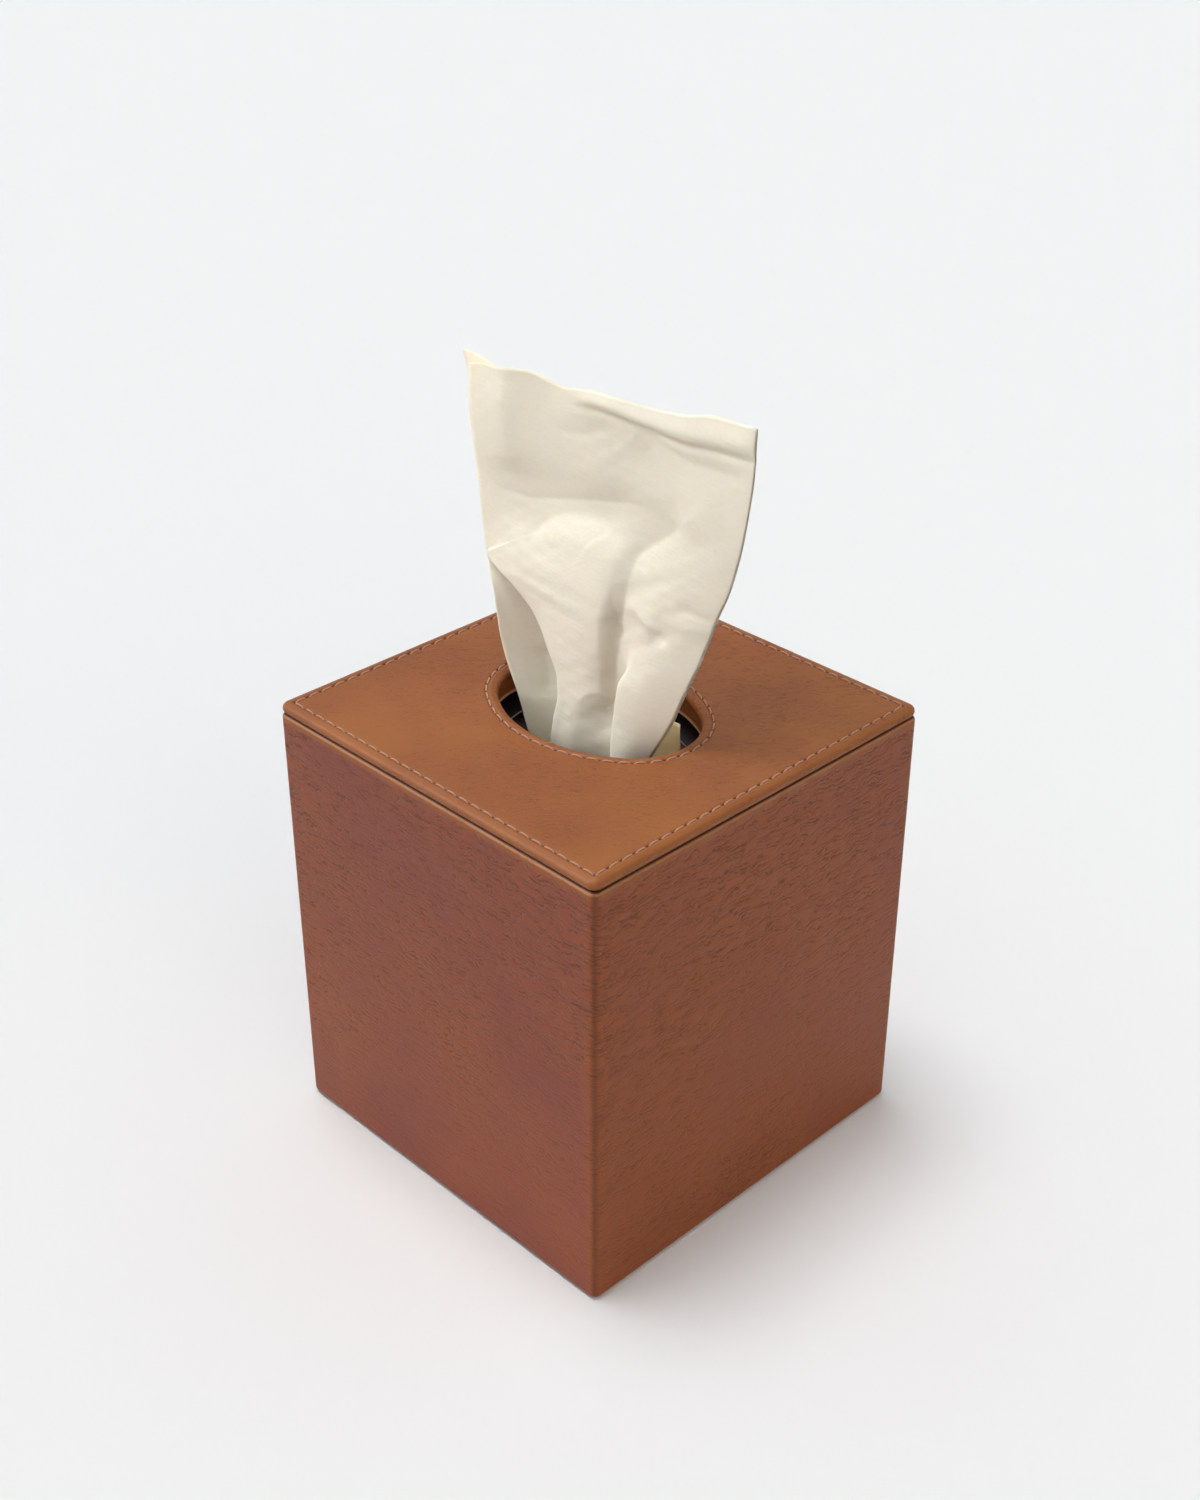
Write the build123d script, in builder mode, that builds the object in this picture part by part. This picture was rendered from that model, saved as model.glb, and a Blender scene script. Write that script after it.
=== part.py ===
"""Leather-covered cube tissue box with a lift-off lid, holding a carton of pop-up tissues.

Millimetres. The origin is the middle of the underside, +Z is up and the oval
hole's long axis lies along X. Every board is a solid of its own, and the
leather, the linings and the contents are made round the same values.
"""

from build123d import *
import math
import os

os.makedirs("parts", exist_ok=True)

# ---------------------------------------------------------------- the case
case_width = 130.0  # over the leather, along X
case_depth = 130.0  # over the leather, along Y
case_corner_radius = 2.4  # upright corners, over the leather
foot_round = 1.8  # edge round the underside
rim_round = 1.2  # outer edge of the rim
case_board = 6.0  # fibreboard walls and base
case_leather_thickness = 1.0
lining_thickness = 1.0
leather_lift = 0.2  # the turned-in leather stays this far above the table
foot_turn_in = 12.0  # leather turned in under the base
rim_turn_in = 10.0  # leather turned down inside the mouth

# ---------------------------------------------------------------- the lid
lid_thickness = 3.3
lid_corner_radius = 3.0
lid_leather_thickness = 0.9
lid_turn_in = 12.0  # leather turned under, along the outer edge
hole_turn_in = 8.0  # leather turned under, round the hole
hole_half_long = 33.3  # the oval at its narrowest, along X
hole_half_short = 24.2  # and along Y
hole_end_radius = 19.6  # of the oval's ends; its long sides are the arcs tangent to them
plate_drop = 6.0  # how far the locating plate reaches below the rim
plate_clearance = 0.6  # between the plate and the mouth, on each side
plate_corner_radius = 1.5
plate_skin = 0.8  # leather round the locating plate
plate_hole_set_back = 1.4  # the plate's oval is this much wider than the lid's
lid_lining_thickness = 1.0
edge_stitch_inset = 3.3  # stitch line to the lid's outer edge
hole_stitch_inset = 3.4  # stitch line to the oval at its narrowest
stitch_groove_width = 1.1
stitch_groove_depth = 0.35
bullnose_land = 0.1  # straight part left between the two rounds of an edge

# ---------------------------------------------------------------- the refill
carton_side_clearance = 2.0  # between the carton and the linings
carton_height = 120.5
carton_headroom = 5.0  # between the carton and the locating plate
carton_board = 0.6
carton_corner_radius = 0.8
carton_hole_half_long = 31.5
carton_hole_half_short = 22.4
carton_hole_end_radius = 18.0
film_thickness = 0.3
film_margin = 9.0  # film glued on, beyond the carton's oval
slit_half_long = 28.0  # the film's slit, spread by the tissues in it
slit_half_short = 12.0
slit_end_radius = 7.0
stack_side_clearance = 1.5  # between the folded tissues and the carton
stack_height = 103.0
stack_slot_half = 9.5  # half the gap between the two legs of the folded stack
stack_bend_radius = 22.0
stack_slot_round = 2.0
stack_top_round = 1.6

# ---------------------------------------------------------------- the tissues
tissue_thickness = 1.4  # two leaves of two plies, lying loosely
tissue_left = 57.0  # top corner, towards -X
tissue_right = 56.0  # top corner, towards +X
tissue_rise = 94.0  # middle of the top edge above the lid
tissue_slope = 4.6  # degrees that the top edge climbs towards +X
slit_gap_left = 5.0  # the tissue's edges to the ends of the film's slit
slit_gap_right = 9.0
hole_gap_left = 3.8  # and to the ends of the lid's oval
hole_gap_right = 8.3
tail_taper = 3.0  # the tail is this much narrower at its foot, on each side
tail_forward = 3.0  # the tail stands this far in front of the middle
tail_pleat = 2.6  # how far each pleat stands off the sheet's middle line, in the tail
hole_pleat = 3.6  # in the hole
fan_pleat = 5.0  # where the sheet spreads
top_pleat = 1.2  # along its top edge
next_thickness = 0.9
next_half_width = 19.0
next_back = 5.4  # how far behind the middle of the slit it stands
next_pleat = 0.5
next_corner_lean = 5.5  # its top +X corner reaches this much further out

# ---------------------------------------------------------------- worked out
board_foot = leather_lift + case_leather_thickness
inside_floor = board_foot + case_board
carton_foot = inside_floor + lining_thickness
carton_top = carton_foot + carton_height
rim_height = carton_top + carton_headroom + plate_drop  # the lid rests on this rim
lid_top = rim_height + lid_thickness
wall = case_leather_thickness + case_board + lining_thickness
mouth_width = case_width - 2 * wall
mouth_depth = case_depth - 2 * wall
between_boards_width = mouth_width + 2 * lining_thickness
between_boards_depth = mouth_depth + 2 * lining_thickness
turned_rim_foot = rim_height - rim_turn_in
bullnose = (lid_thickness - bullnose_land) / 2
lid_board_thickness = lid_thickness - 2 * lid_leather_thickness
lid_board_foot = rim_height + lid_leather_thickness
plate_width = mouth_width - 2 * plate_clearance
plate_depth = mouth_depth - 2 * plate_clearance
plate_foot = rim_height - plate_drop
plate_skin_foot = plate_foot + lid_lining_thickness
carton_width = mouth_width - 2 * carton_side_clearance
carton_depth = mouth_depth - 2 * carton_side_clearance
stack_foot = carton_foot + carton_board
stack_top = stack_foot + stack_height
stack_width = carton_width - 2 * carton_board - 2 * stack_side_clearance
stack_depth = carton_depth - 2 * carton_board - 2 * stack_side_clearance
stack_leg = stack_depth / 2 - stack_slot_half
slot_floor = stack_foot + stack_leg


def finish(piece, name):
    """Labels a finished piece and writes it."""
    piece.part.label = name
    export_step(piece.part, f"parts/{name}.step")


def block(width, depth, foot, top, radius=0.0):
    """A plain or round-cornered block about the Z axis, as a part."""
    with BuildPart() as made:
        with BuildSketch(Plane.XY.offset(foot)):
            if radius > 0:
                RectangleRounded(width, depth, radius)
            else:
                Rectangle(width, depth)
        extrude(amount=top - foot)
    return made.part


def oval(half_long, half_short, end_radius):
    """An oval of four tangent arcs, as a sketch on XY.

    The ends have their centres on X, and the long sides have theirs on Y, where
    the arcs through (0, half_short) run on into the ends with no corner.
    """
    end_centre = half_long - end_radius
    spare = half_short - end_radius
    side_centre = (end_centre**2 - spare**2) / (2 * spare)
    stretch = (half_short + side_centre) / (spare + side_centre)
    meet_x = end_centre * stretch
    meet_y = side_centre * (stretch - 1)
    with BuildSketch() as outline:
        with BuildLine():
            ThreePointArc((-meet_x, meet_y), (0, half_short), (meet_x, meet_y))
            ThreePointArc((meet_x, meet_y), (half_long, 0), (meet_x, -meet_y))
            ThreePointArc((meet_x, -meet_y), (0, -half_short), (-meet_x, -meet_y))
            ThreePointArc((-meet_x, -meet_y), (-half_long, 0), (-meet_x, meet_y))
        make_face()
    return outline.sketch


def lid_oval(reach):
    """The lid's oval grown outwards by reach on every side."""
    return oval(hole_half_long + reach, hole_half_short + reach, hole_end_radius + reach)


def holed_plate(width, depth, radius, hole, foot, top):
    """A level plate with a hole through it, as a part."""
    with BuildPart() as made:
        with BuildSketch(Plane.XY.offset(foot)):
            RectangleRounded(width, depth, radius)
            add(hole, mode=Mode.SUBTRACT)
        extrude(amount=top - foot)
    return made.part


def level_edges(piece, height, round_hole=False):
    """The edges of a piece that lie at one height: the hole's, or all the others."""
    level = piece.edges().filter_by_position(Axis.Z, height - 0.001, height + 0.001)
    hole_reach = (hole_half_long + case_width / 2) / 2
    return level.filter_by(
        lambda edge: (Vector(edge.center().X, edge.center().Y).length < hole_reach) == round_hole
    )


# ================================================================ case boards
# The envelope of the glued-up boards: what the leather is stretched over.
envelope_width = case_width - 2 * case_leather_thickness
envelope_depth = case_depth - 2 * case_leather_thickness
envelope_top = rim_height - case_leather_thickness
with BuildPart() as envelope:
    add(
        block(
            envelope_width,
            envelope_depth,
            board_foot,
            envelope_top,
            case_corner_radius - case_leather_thickness,
        )
    )

# Front and back run the full width, and the sides are butted between them.
board_mid_y = (between_boards_depth + case_board) / 2
board_mid_x = (between_boards_width + case_board) / 2
board_length = envelope_top - board_foot
for name, mid_x, mid_y, size_x, size_y in (
    ("front_board", 0, -board_mid_y, envelope_width, case_board),
    ("back_board", 0, board_mid_y, envelope_width, case_board),
    ("left_board", -board_mid_x, 0, case_board, between_boards_depth),
    ("right_board", board_mid_x, 0, case_board, between_boards_depth),
):
    with BuildPart() as wall_board:
        with BuildSketch(Plane.XY.offset(board_foot)):
            with Locations((mid_x, mid_y)):
                Rectangle(size_x, size_y)
        extrude(amount=board_length)
        add(envelope.part, mode=Mode.INTERSECT)
    finish(wall_board, name)

with BuildPart() as base_board:
    add(block(between_boards_width, between_boards_depth, board_foot, inside_floor))
finish(base_board, "base_board")

# ================================================================ case leather
# One wrap round the four walls, turned down inside the mouth and in under the base.
with BuildPart() as case_leather:
    add(block(case_width, case_depth, leather_lift, rim_height, case_corner_radius))
    fillet(level_edges(case_leather, leather_lift), foot_round)
    fillet(level_edges(case_leather, rim_height), rim_round)
    add(envelope.part, mode=Mode.SUBTRACT)
    add(block(mouth_width, mouth_depth, envelope_top, rim_height), mode=Mode.SUBTRACT)
    add(
        block(
            case_width - 2 * foot_turn_in,
            case_depth - 2 * foot_turn_in,
            leather_lift,
            board_foot,
        ),
        mode=Mode.SUBTRACT,
    )
    with BuildSketch(Plane.XY.offset(turned_rim_foot)):
        Rectangle(between_boards_width, between_boards_depth)
        Rectangle(mouth_width, mouth_depth, mode=Mode.SUBTRACT)
    extrude(amount=envelope_top - turned_rim_foot)
finish(case_leather, "case_leather")

with BuildPart() as underside_sheet:
    add(block(case_width - 2 * foot_turn_in, case_depth - 2 * foot_turn_in, 0, board_foot))
finish(underside_sheet, "underside_sheet")

# ================================================================ case linings
lining_mid_y = (mouth_depth + lining_thickness) / 2
lining_mid_x = (mouth_width + lining_thickness) / 2
for name, mid_x, mid_y, size_x, size_y in (
    ("front_lining", 0, -lining_mid_y, between_boards_width, lining_thickness),
    ("back_lining", 0, lining_mid_y, between_boards_width, lining_thickness),
    ("left_lining", -lining_mid_x, 0, lining_thickness, mouth_depth),
    ("right_lining", lining_mid_x, 0, lining_thickness, mouth_depth),
):
    with BuildPart() as wall_lining:
        with BuildSketch(Plane.XY.offset(inside_floor)):
            with Locations((mid_x, mid_y)):
                Rectangle(size_x, size_y)
        extrude(amount=turned_rim_foot - inside_floor)
    finish(wall_lining, name)

with BuildPart() as base_lining:
    add(block(mouth_width, mouth_depth, inside_floor, carton_foot))
finish(base_lining, "base_lining")

# ================================================================ lid board
with BuildPart() as lid_board:
    add(
        holed_plate(
            case_width - 2 * lid_leather_thickness,
            case_depth - 2 * lid_leather_thickness,
            lid_corner_radius - lid_leather_thickness,
            lid_oval(lid_leather_thickness),
            lid_board_foot,
            lid_board_foot + lid_board_thickness,
        )
    )
finish(lid_board, "lid_board")

# ================================================================ lid leather
# Stretched over the lid board: a full round edge outside and round the hole, a
# sunk line under each row of stitches, and a border turned under along both.
groove_near = -stitch_groove_width / 2
groove_far = stitch_groove_width / 2
with BuildPart() as lid_leather:
    add(holed_plate(case_width, case_depth, lid_corner_radius, lid_oval(0), rim_height, lid_top))
    for level in (rim_height, lid_top):
        fillet(level_edges(lid_leather, level), bullnose)
        fillet(level_edges(lid_leather, level, round_hole=True), bullnose)
    add(lid_board.part, mode=Mode.SUBTRACT)
    with BuildSketch(Plane.XY.offset(rim_height)):
        Rectangle(case_width - 2 * lid_turn_in, case_depth - 2 * lid_turn_in)
        add(lid_oval(hole_turn_in), mode=Mode.SUBTRACT)
    extrude(amount=lid_leather_thickness, mode=Mode.SUBTRACT)
    with BuildSketch(Plane.XY.offset(lid_top - stitch_groove_depth)):
        for side, mode in ((groove_near, Mode.ADD), (groove_far, Mode.SUBTRACT)):
            inset = edge_stitch_inset + side
            Rectangle(case_width - 2 * inset, case_depth - 2 * inset, mode=mode)
        add(lid_oval(hole_stitch_inset + groove_far))
        add(lid_oval(hole_stitch_inset + groove_near), mode=Mode.SUBTRACT)
    extrude(amount=stitch_groove_depth, mode=Mode.SUBTRACT)
finish(lid_leather, "lid_leather")

# ================================================================ locating plate
# A board glued under the lid that drops into the mouth and keeps the lid square.
with BuildPart() as locating_board:
    add(
        holed_plate(
            plate_width - 2 * plate_skin,
            plate_depth - 2 * plate_skin,
            plate_corner_radius - plate_skin,
            lid_oval(plate_hole_set_back + plate_skin),
            plate_skin_foot + plate_skin,
            rim_height,
        )
    )
finish(locating_board, "locating_board")

plate_hole = lid_oval(plate_hole_set_back)
with BuildPart() as locating_leather:
    add(
        holed_plate(
            plate_width, plate_depth, plate_corner_radius, plate_hole, plate_skin_foot, rim_height
        )
    )
    add(locating_board.part, mode=Mode.SUBTRACT)
finish(locating_leather, "locating_leather")

with BuildPart() as lid_lining:
    add(
        holed_plate(
            plate_width, plate_depth, plate_corner_radius, plate_hole, plate_foot, plate_skin_foot
        )
    )
finish(lid_lining, "lid_lining")

# ================================================================ tissue carton
film_top = carton_top - carton_board
with BuildPart() as tissue_carton:
    add(block(carton_width, carton_depth, carton_foot, carton_top, carton_corner_radius))
    add(
        block(
            carton_width - 2 * carton_board,
            carton_depth - 2 * carton_board,
            carton_foot + carton_board,
            film_top,
        ),
        mode=Mode.SUBTRACT,
    )
    with BuildSketch(Plane.XY.offset(film_top)):
        add(oval(carton_hole_half_long, carton_hole_half_short, carton_hole_end_radius))
    extrude(amount=carton_board, mode=Mode.SUBTRACT)
finish(tissue_carton, "tissue_carton")

with BuildPart() as carton_film:
    with BuildSketch(Plane.XY.offset(film_top - film_thickness)):
        Rectangle(
            2 * (carton_hole_half_long + film_margin),
            2 * (carton_hole_half_short + film_margin),
        )
        add(oval(slit_half_long, slit_half_short, slit_end_radius), mode=Mode.SUBTRACT)
    extrude(amount=film_thickness)
finish(carton_film, "carton_film")

# ================================================================ tissue stack
# The folded tissues stand in the carton as a U, open at the top.
with BuildPart() as tissue_stack:
    with BuildSketch(Plane.YZ.offset(-stack_width / 2)) as stack_outline:
        with Locations((0, (stack_foot + stack_top) / 2)):
            Rectangle(stack_depth, stack_height)
        fillet(stack_outline.vertices().group_by(Axis.Y)[0], stack_bend_radius)
        fillet(stack_outline.vertices().group_by(Axis.Y)[-1], stack_top_round)
        with BuildSketch(mode=Mode.PRIVATE) as slot_outline:
            with Locations((0, (slot_floor + stack_top) / 2)):
                Rectangle(2 * stack_slot_half, stack_top - slot_floor)
            fillet(slot_outline.vertices().group_by(Axis.Y)[0], stack_slot_round)
        add(slot_outline.sketch, mode=Mode.SUBTRACT)
    extrude(amount=stack_width)
finish(tissue_stack, "tissue_stack")

# ================================================================ tissues
# Where a tissue's pleats change side, as shares of its width from the -X edge.
# The pleats lie by turns behind (+1) and in front (-1) of the line between its edges.
pleat_ends = (0.0, 0.2, 0.46, 0.62, 1.0)
pleat_sides = (1, -1, 1, -1)
pleat_steps = 4  # straight steps across each pleat


def pleated_line(left, right, depth, offset):
    """One face of a tissue at one height: a half wave for each pleat."""
    points = []
    for first, last, side in zip(pleat_ends, pleat_ends[1:], pleat_sides):
        for step in range(pleat_steps):
            share = step / pleat_steps
            along = first + (last - first) * share
            stand_off = side * depth * math.sin(math.pi * share)
            points.append(
                (
                    left[0] + (right[0] - left[0]) * along,
                    left[1] + (right[1] - left[1]) * along + stand_off + offset,
                )
            )
    points.append((right[0], right[1] + offset))
    Polyline(*points)
    return points[0], points[-1]


def tissue_section(height, left, right, depth, thickness, slope=0.0):
    """The closed outline of a tissue where a plane, level or tilted, cuts it."""
    lean = math.radians(slope)
    plane = Plane(
        origin=(0, 0, height),
        x_dir=(math.cos(lean), 0, math.sin(lean)),
        z_dir=(-math.sin(lean), 0, math.cos(lean)),
    )
    with BuildSketch(plane) as outline:
        with BuildLine():
            front = pleated_line(left, right, depth, -thickness / 2)
            back = pleated_line(left, right, depth, thickness / 2)
            Line(front[0], back[0])
            Line(front[1], back[1])
        make_face()
    return outline.sketch.face()


# The tissue drawn up through the slit and the hole. Each level gives its height,
# the sheet's -X and +X edges there, the pleats' depth and the plane's slope. The
# edges spread from the slit to the hole, and above the lid they fan out.
slit_left = slit_gap_left - slit_half_long
slit_right = slit_half_long - slit_gap_right
hole_left = hole_gap_left - hole_half_long
hole_right = hole_half_long - hole_gap_right
tail_left = (slit_left + tail_taper, -tail_forward)
tail_right = (slit_right - tail_taper, -tail_forward)
pulled_levels = (
    (slot_floor, tail_left, tail_right, tail_pleat, 0),
    (stack_top, tail_left, tail_right, tail_pleat, 0),
    (carton_top, (slit_left, -4.2), (slit_right, -2.0), 3.0, 0),
    (lid_top, (hole_left, -5.0), (hole_right, -0.6), hole_pleat, 0),
    (lid_top + 17, (-39.5, -3.0), (33.5, 0), fan_pleat, 0),
    (lid_top + 42, (-47.5, 0), (45.0, 0), fan_pleat, 0),
    (lid_top + 66, (-50.0, 0), (52.5, 0), 3.0, 0),
    (lid_top + tissue_rise, (-tissue_left, 0), (tissue_right, 0), top_pleat, tissue_slope),
)
with BuildPart() as pulled_tissue:
    loft(
        sections=[
            tissue_section(height, left, right, depth, tissue_thickness, slope)
            for height, left, right, depth, slope in pulled_levels
        ],
        ruled=True,
    )
finish(pulled_tissue, "pulled_tissue")

# The next tissue, whose corner already stands in the hole behind the first.
next_left = (-next_half_width, next_back)
next_right = (next_half_width, next_back)
next_corner = (next_half_width + next_corner_lean, next_back)
with BuildPart() as next_tissue:
    loft(
        sections=[
            tissue_section(height, next_left, right, next_pleat, next_thickness)
            for height, right in (
                (slot_floor, next_right),
                (carton_top, next_right),
                (lid_top, next_corner),
            )
        ],
        ruled=True,
    )
finish(next_tissue, "next_tissue")
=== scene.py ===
"""Looks of the leather-covered cube tissue box: hide, thread, linings, carton and tissues.

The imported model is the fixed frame. Each operator below dresses one group of its
pieces or replaces a plain solid with a fuller one. Sizes are in metres, and MM
turns the maker's millimetres into them.
"""

import math
from functools import partial

import bmesh
import bpy
import numpy as np
from mathutils import Matrix, Vector


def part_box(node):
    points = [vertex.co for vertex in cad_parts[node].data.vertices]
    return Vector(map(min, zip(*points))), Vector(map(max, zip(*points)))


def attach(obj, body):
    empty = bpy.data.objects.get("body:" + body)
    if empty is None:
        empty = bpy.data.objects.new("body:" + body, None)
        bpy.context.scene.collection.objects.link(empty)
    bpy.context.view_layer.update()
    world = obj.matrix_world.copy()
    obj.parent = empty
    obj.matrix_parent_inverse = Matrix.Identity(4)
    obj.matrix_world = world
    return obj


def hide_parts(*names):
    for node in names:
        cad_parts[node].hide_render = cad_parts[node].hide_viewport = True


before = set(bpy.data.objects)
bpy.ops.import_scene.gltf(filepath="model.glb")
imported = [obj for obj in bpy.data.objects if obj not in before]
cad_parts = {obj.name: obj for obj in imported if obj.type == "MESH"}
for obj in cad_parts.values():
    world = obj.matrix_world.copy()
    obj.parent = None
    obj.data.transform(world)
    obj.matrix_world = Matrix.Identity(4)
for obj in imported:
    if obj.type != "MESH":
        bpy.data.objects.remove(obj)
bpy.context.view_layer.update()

bl_info = {
    "name": "Leather tissue box",
    "version": (1, 0, 0),
    "blender": (4, 5, 0),
    "location": "View3D > Sidebar > Tissue box",
    "description": "Dresses the packed tissue box in hide, thread, linings and paper",
    "category": "Object",
}

MM = 0.001

# ---------------------------------------------------------------- places read from the frame
lid_low, lid_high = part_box("lid_leather")
film_low, film_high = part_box("carton_film")
stack_low, stack_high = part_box("tissue_stack")
CARTON_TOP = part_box("tissue_carton")[1].z
NEXT_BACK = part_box("next_tissue")[1].y
LID_TOP, RIM, HALF_WIDTH = lid_high.z, lid_low.z, lid_high.x
HOLE_LONG = 33.3 * MM  # half the oval's length, where it is narrowest
HOLE_SHORT = 24.2 * MM
HOLE_END_RADIUS = 19.6 * MM
# Shares of a stitch groove's depth: between two needle holes, and what a hole adds.
BETWEEN_HOLES, AT_HOLE = 0.42, 0.58
FINISHES = {}


# ================================================================ sizes and colours
def size(name, description, default):
    """A length that a user would change."""
    return bpy.props.FloatProperty(
        name=name, description=description, default=default, unit="LENGTH", precision=5)


def shade(name, description, default):
    """A colour that a user would change, as sRGB hex."""
    return bpy.props.StringProperty(name=name, description=description, default=default)


def number(name, description, default, **limits):
    """A plain number that a user would change."""
    return bpy.props.FloatProperty(name=name, description=description, default=default, **limits)


class LeatherSettings(bpy.types.PropertyGroup):
    """The hide on the case and the lid."""

    case_brown: shade("Case brown", "The walls' main tone", "#7B3824")
    case_ochre: shade("Case ochre", "Where the walls' dye lies thinner", "#8E4715")
    rim_ochre: shade("Rim ochre", "Burnished strip of the walls under the lid", "#8B4B1A")
    # A painted highlight: the thin pale line where the rim's rounded edge catches the light.
    rim_highlight_paint: shade("Rubbed rim", "The rim's edge, where the dye is rubbed thin", "#A96F42")
    lid_tan: shade("Lid tan", "The lid's main tone", "#8F5424")
    lid_brown: shade("Lid brown", "The lid's second tone", "#83481F")
    # Painted shade: this brown darkens the grain's creases, the gap under the lid and the walls'
    # upright edges.
    painted_shade_brown: shade("Crease brown", "Dye gathered in the grain's creases", "#4A2414")
    # Painted shade inside the needle holes.
    painted_hole_shade_brown: shade("Hole brown", "Inside the needle holes", "#240F08")
    edge_tan: shade("Edge tan", "Raw cut edge of hide and lining", "#C49A78")
    leather_thickness: size("Leather thickness", "The lid's hide", 0.9 * MM)
    crease_spacing: size("Crease spacing", "From one milled crease to the next", 1.15 * MM)
    crease_length: size("Crease length", "Along a wall", 3.6 * MM)
    case_relief: size("Case relief", "Depth of the walls' creases", 0.26 * MM)
    lid_relief: size("Lid relief", "Depth of the lid's creases", 0.1 * MM)
    band_height: size("Rim band", "Burnished strip of the case below the lid", 2.2 * MM)


class StitchSettings(bpy.types.PropertyGroup):
    """The thread round the lid's edge and round its hole."""

    thread_tan: shade("Thread", "Waxed thread, paler than the hide", "#BE8E74")
    edge_inset: size("Edge inset", "Stitch line to the lid's outer edge", 3.3 * MM)
    hole_inset: size("Hole inset", "Stitch line to the oval", 3.4 * MM)
    edge_pitch: size("Edge pitch", "Hole to hole along the edge", 4.75 * MM)
    hole_pitch: size("Hole pitch", "Hole to hole round the oval", 4.5 * MM)
    thread_radius: size("Ply radius", "Each of the thread's two plies", 0.17 * MM)
    stitch_share: number(
        "Stitch share", "Part of the pitch that a stitch covers", 0.8,
        min=0.5, max=0.95, subtype="FACTOR")
    groove_depth: size("Groove depth", "The hide drawn down at a needle hole", 0.62 * MM)
    groove_reach: size("Groove reach", "From the stitch line to the flat hide", 0.65 * MM)
    bead_height: size("Bead height", "The hide's rise beside the stitches", 0.16 * MM)
    seed: bpy.props.IntProperty(name="Seed", description="Seed of the stitches' wander", default=4)


class PaperSettings(bpy.types.PropertyGroup):
    """The tissues and their carton."""

    tissue_cream: shade("Tissue", "Creped paper", "#FAFBEC")
    tissue_thin: shade("Tissue, thin", "Creped paper where the crepe is stretched", "#F5F3DF")
    tissue_glow: shade("Tissue, through", "Light that comes through a leaf", "#F2D79C")
    board_dark: shade("Printed board", "The carton's printed face", "#221820")
    board_core: shade("Board core", "The carton's pale cut edge", "#B9A79A")
    film_tint: shade("Film", "Polythene over the carton's opening", "#4A3C46")
    leaf_thickness: size("Leaf", "Two plies pressed together", 0.16 * MM)
    leaf_gap: size("Leaf gap", "Air between the folded tissue's two leaves", 0.22 * MM)
    leaf_width: size("Folded width", "The tissue as folded for the carton", 108 * MM)
    tissue_length: size("Tissue length", "From the top edge to the tail", 200 * MM)
    sheets_shown: bpy.props.IntProperty(
        name="Sheets", description="Folded sheets shown in the stack", default=40, min=10, max=60)


class StageSettings(bpy.types.PropertyGroup):
    """The camera, the lamps and the floor."""

    lens: number("Lens", "Focal length in mm", 49.09)
    paper_grey: shade("Background", "The backdrop", "#F1F1F1")
    floor_grey: shade("Floor", "The floor's paper, cool against the warm lamps", "#F9FBFD")
    bounce_grey: shade("Bounce", "The floor as it lights the object", "#DBDAD9")
    sky_strength: number("Sky", "Even light", 0.375)
    key_strength: number("Key", "Overhead softbox", 1.6)
    window_strength: number("Window", "From the left", 1.9)
    fill_strength: number("Fill", "From the right", 0.85)
    card_strength: number("Card", "On the tissue", 0.62)
    back_card_strength: number("Back card", "Behind the tissue", 0.95)


# ================================================================ small helpers
def linear(hex_colour):
    """An sRGB hex colour as linear RGBA."""
    channels = [int(hex_colour[i : i + 2], 16) / 255 for i in (1, 3, 5)]
    lit = [c / 12.92 if c <= 0.04045 else ((c + 0.055) / 1.055) ** 2.4 for c in channels]
    return (*lit, 1.0)


def add_node(tree, kind, inputs=(), **settings):
    """Adds a node, its settings and its inputs: values, hex colours, sockets or nodes."""
    made = tree.nodes.new(kind)
    for name, value in settings.items():
        setattr(made, name, value)
    for key, given in dict(inputs).items():
        found = [s for s in made.inputs if s.name == key and s.enabled]
        socket = made.inputs[key] if isinstance(key, int) else found[0]
        for value in given if isinstance(given, list) else [given]:
            if isinstance(value, bpy.types.Node):
                value = next(s for s in value.outputs if s.enabled)
            if isinstance(value, bpy.types.NodeSocket):
                tree.links.new(value, socket)
            else:
                socket.default_value = linear(value) if isinstance(value, str) else value
    return made


def in_scene(name, data):
    """An object in the scene."""
    made = bpy.data.objects.new(name, data)
    bpy.context.scene.collection.objects.link(made)
    return made


def mesh_object(name, points, faces, material, uv=None):
    """A smooth mesh object at the origin, with its place in its mesh."""
    mesh = bpy.data.meshes.new(name)
    mesh.from_pydata([tuple(p) for p in points], [], faces)
    if uv is not None:
        layer = mesh.uv_layers.new(name="cloth")
        corners = np.array([loop.vertex_index for loop in mesh.loops])
        layer.data.foreach_set("uv", np.asarray(uv, np.float32)[corners].ravel())
    mesh.materials.append(material)
    mesh.shade_smooth()
    return in_scene(name, mesh)


def grid_faces(rows, columns, closed=False):
    """Quads of a grid whose points are stored row by row; closed rows join end to start."""
    faces = []
    for row in range(rows - 1):
        for col in range(columns if closed else columns - 1):
            here, beside = row * columns + col, row * columns + (col + 1) % columns
            faces.append((here, beside, beside + columns, here + columns))
    return faces


def thicken(piece, thickness, offset=0.0):
    """Gives a sheet its thickness, half to each side or, with an offset of -1, inwards."""
    wall = piece.modifiers.new("thickness", "SOLIDIFY")
    wall.thickness, wall.offset = thickness, offset


def dress(node_names, material):
    """Gives CAD nodes whose shape is right their finish."""
    for name in node_names:
        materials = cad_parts[name].data.materials
        materials.clear()
        materials.append(material)


def own(piece, body, slot, *nodes):
    """Ties a finished piece to its body and hides the CAD nodes it stands for. The slot is not
    used.
    """
    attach(piece, body)
    if nodes:
        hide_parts(*nodes)


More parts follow.
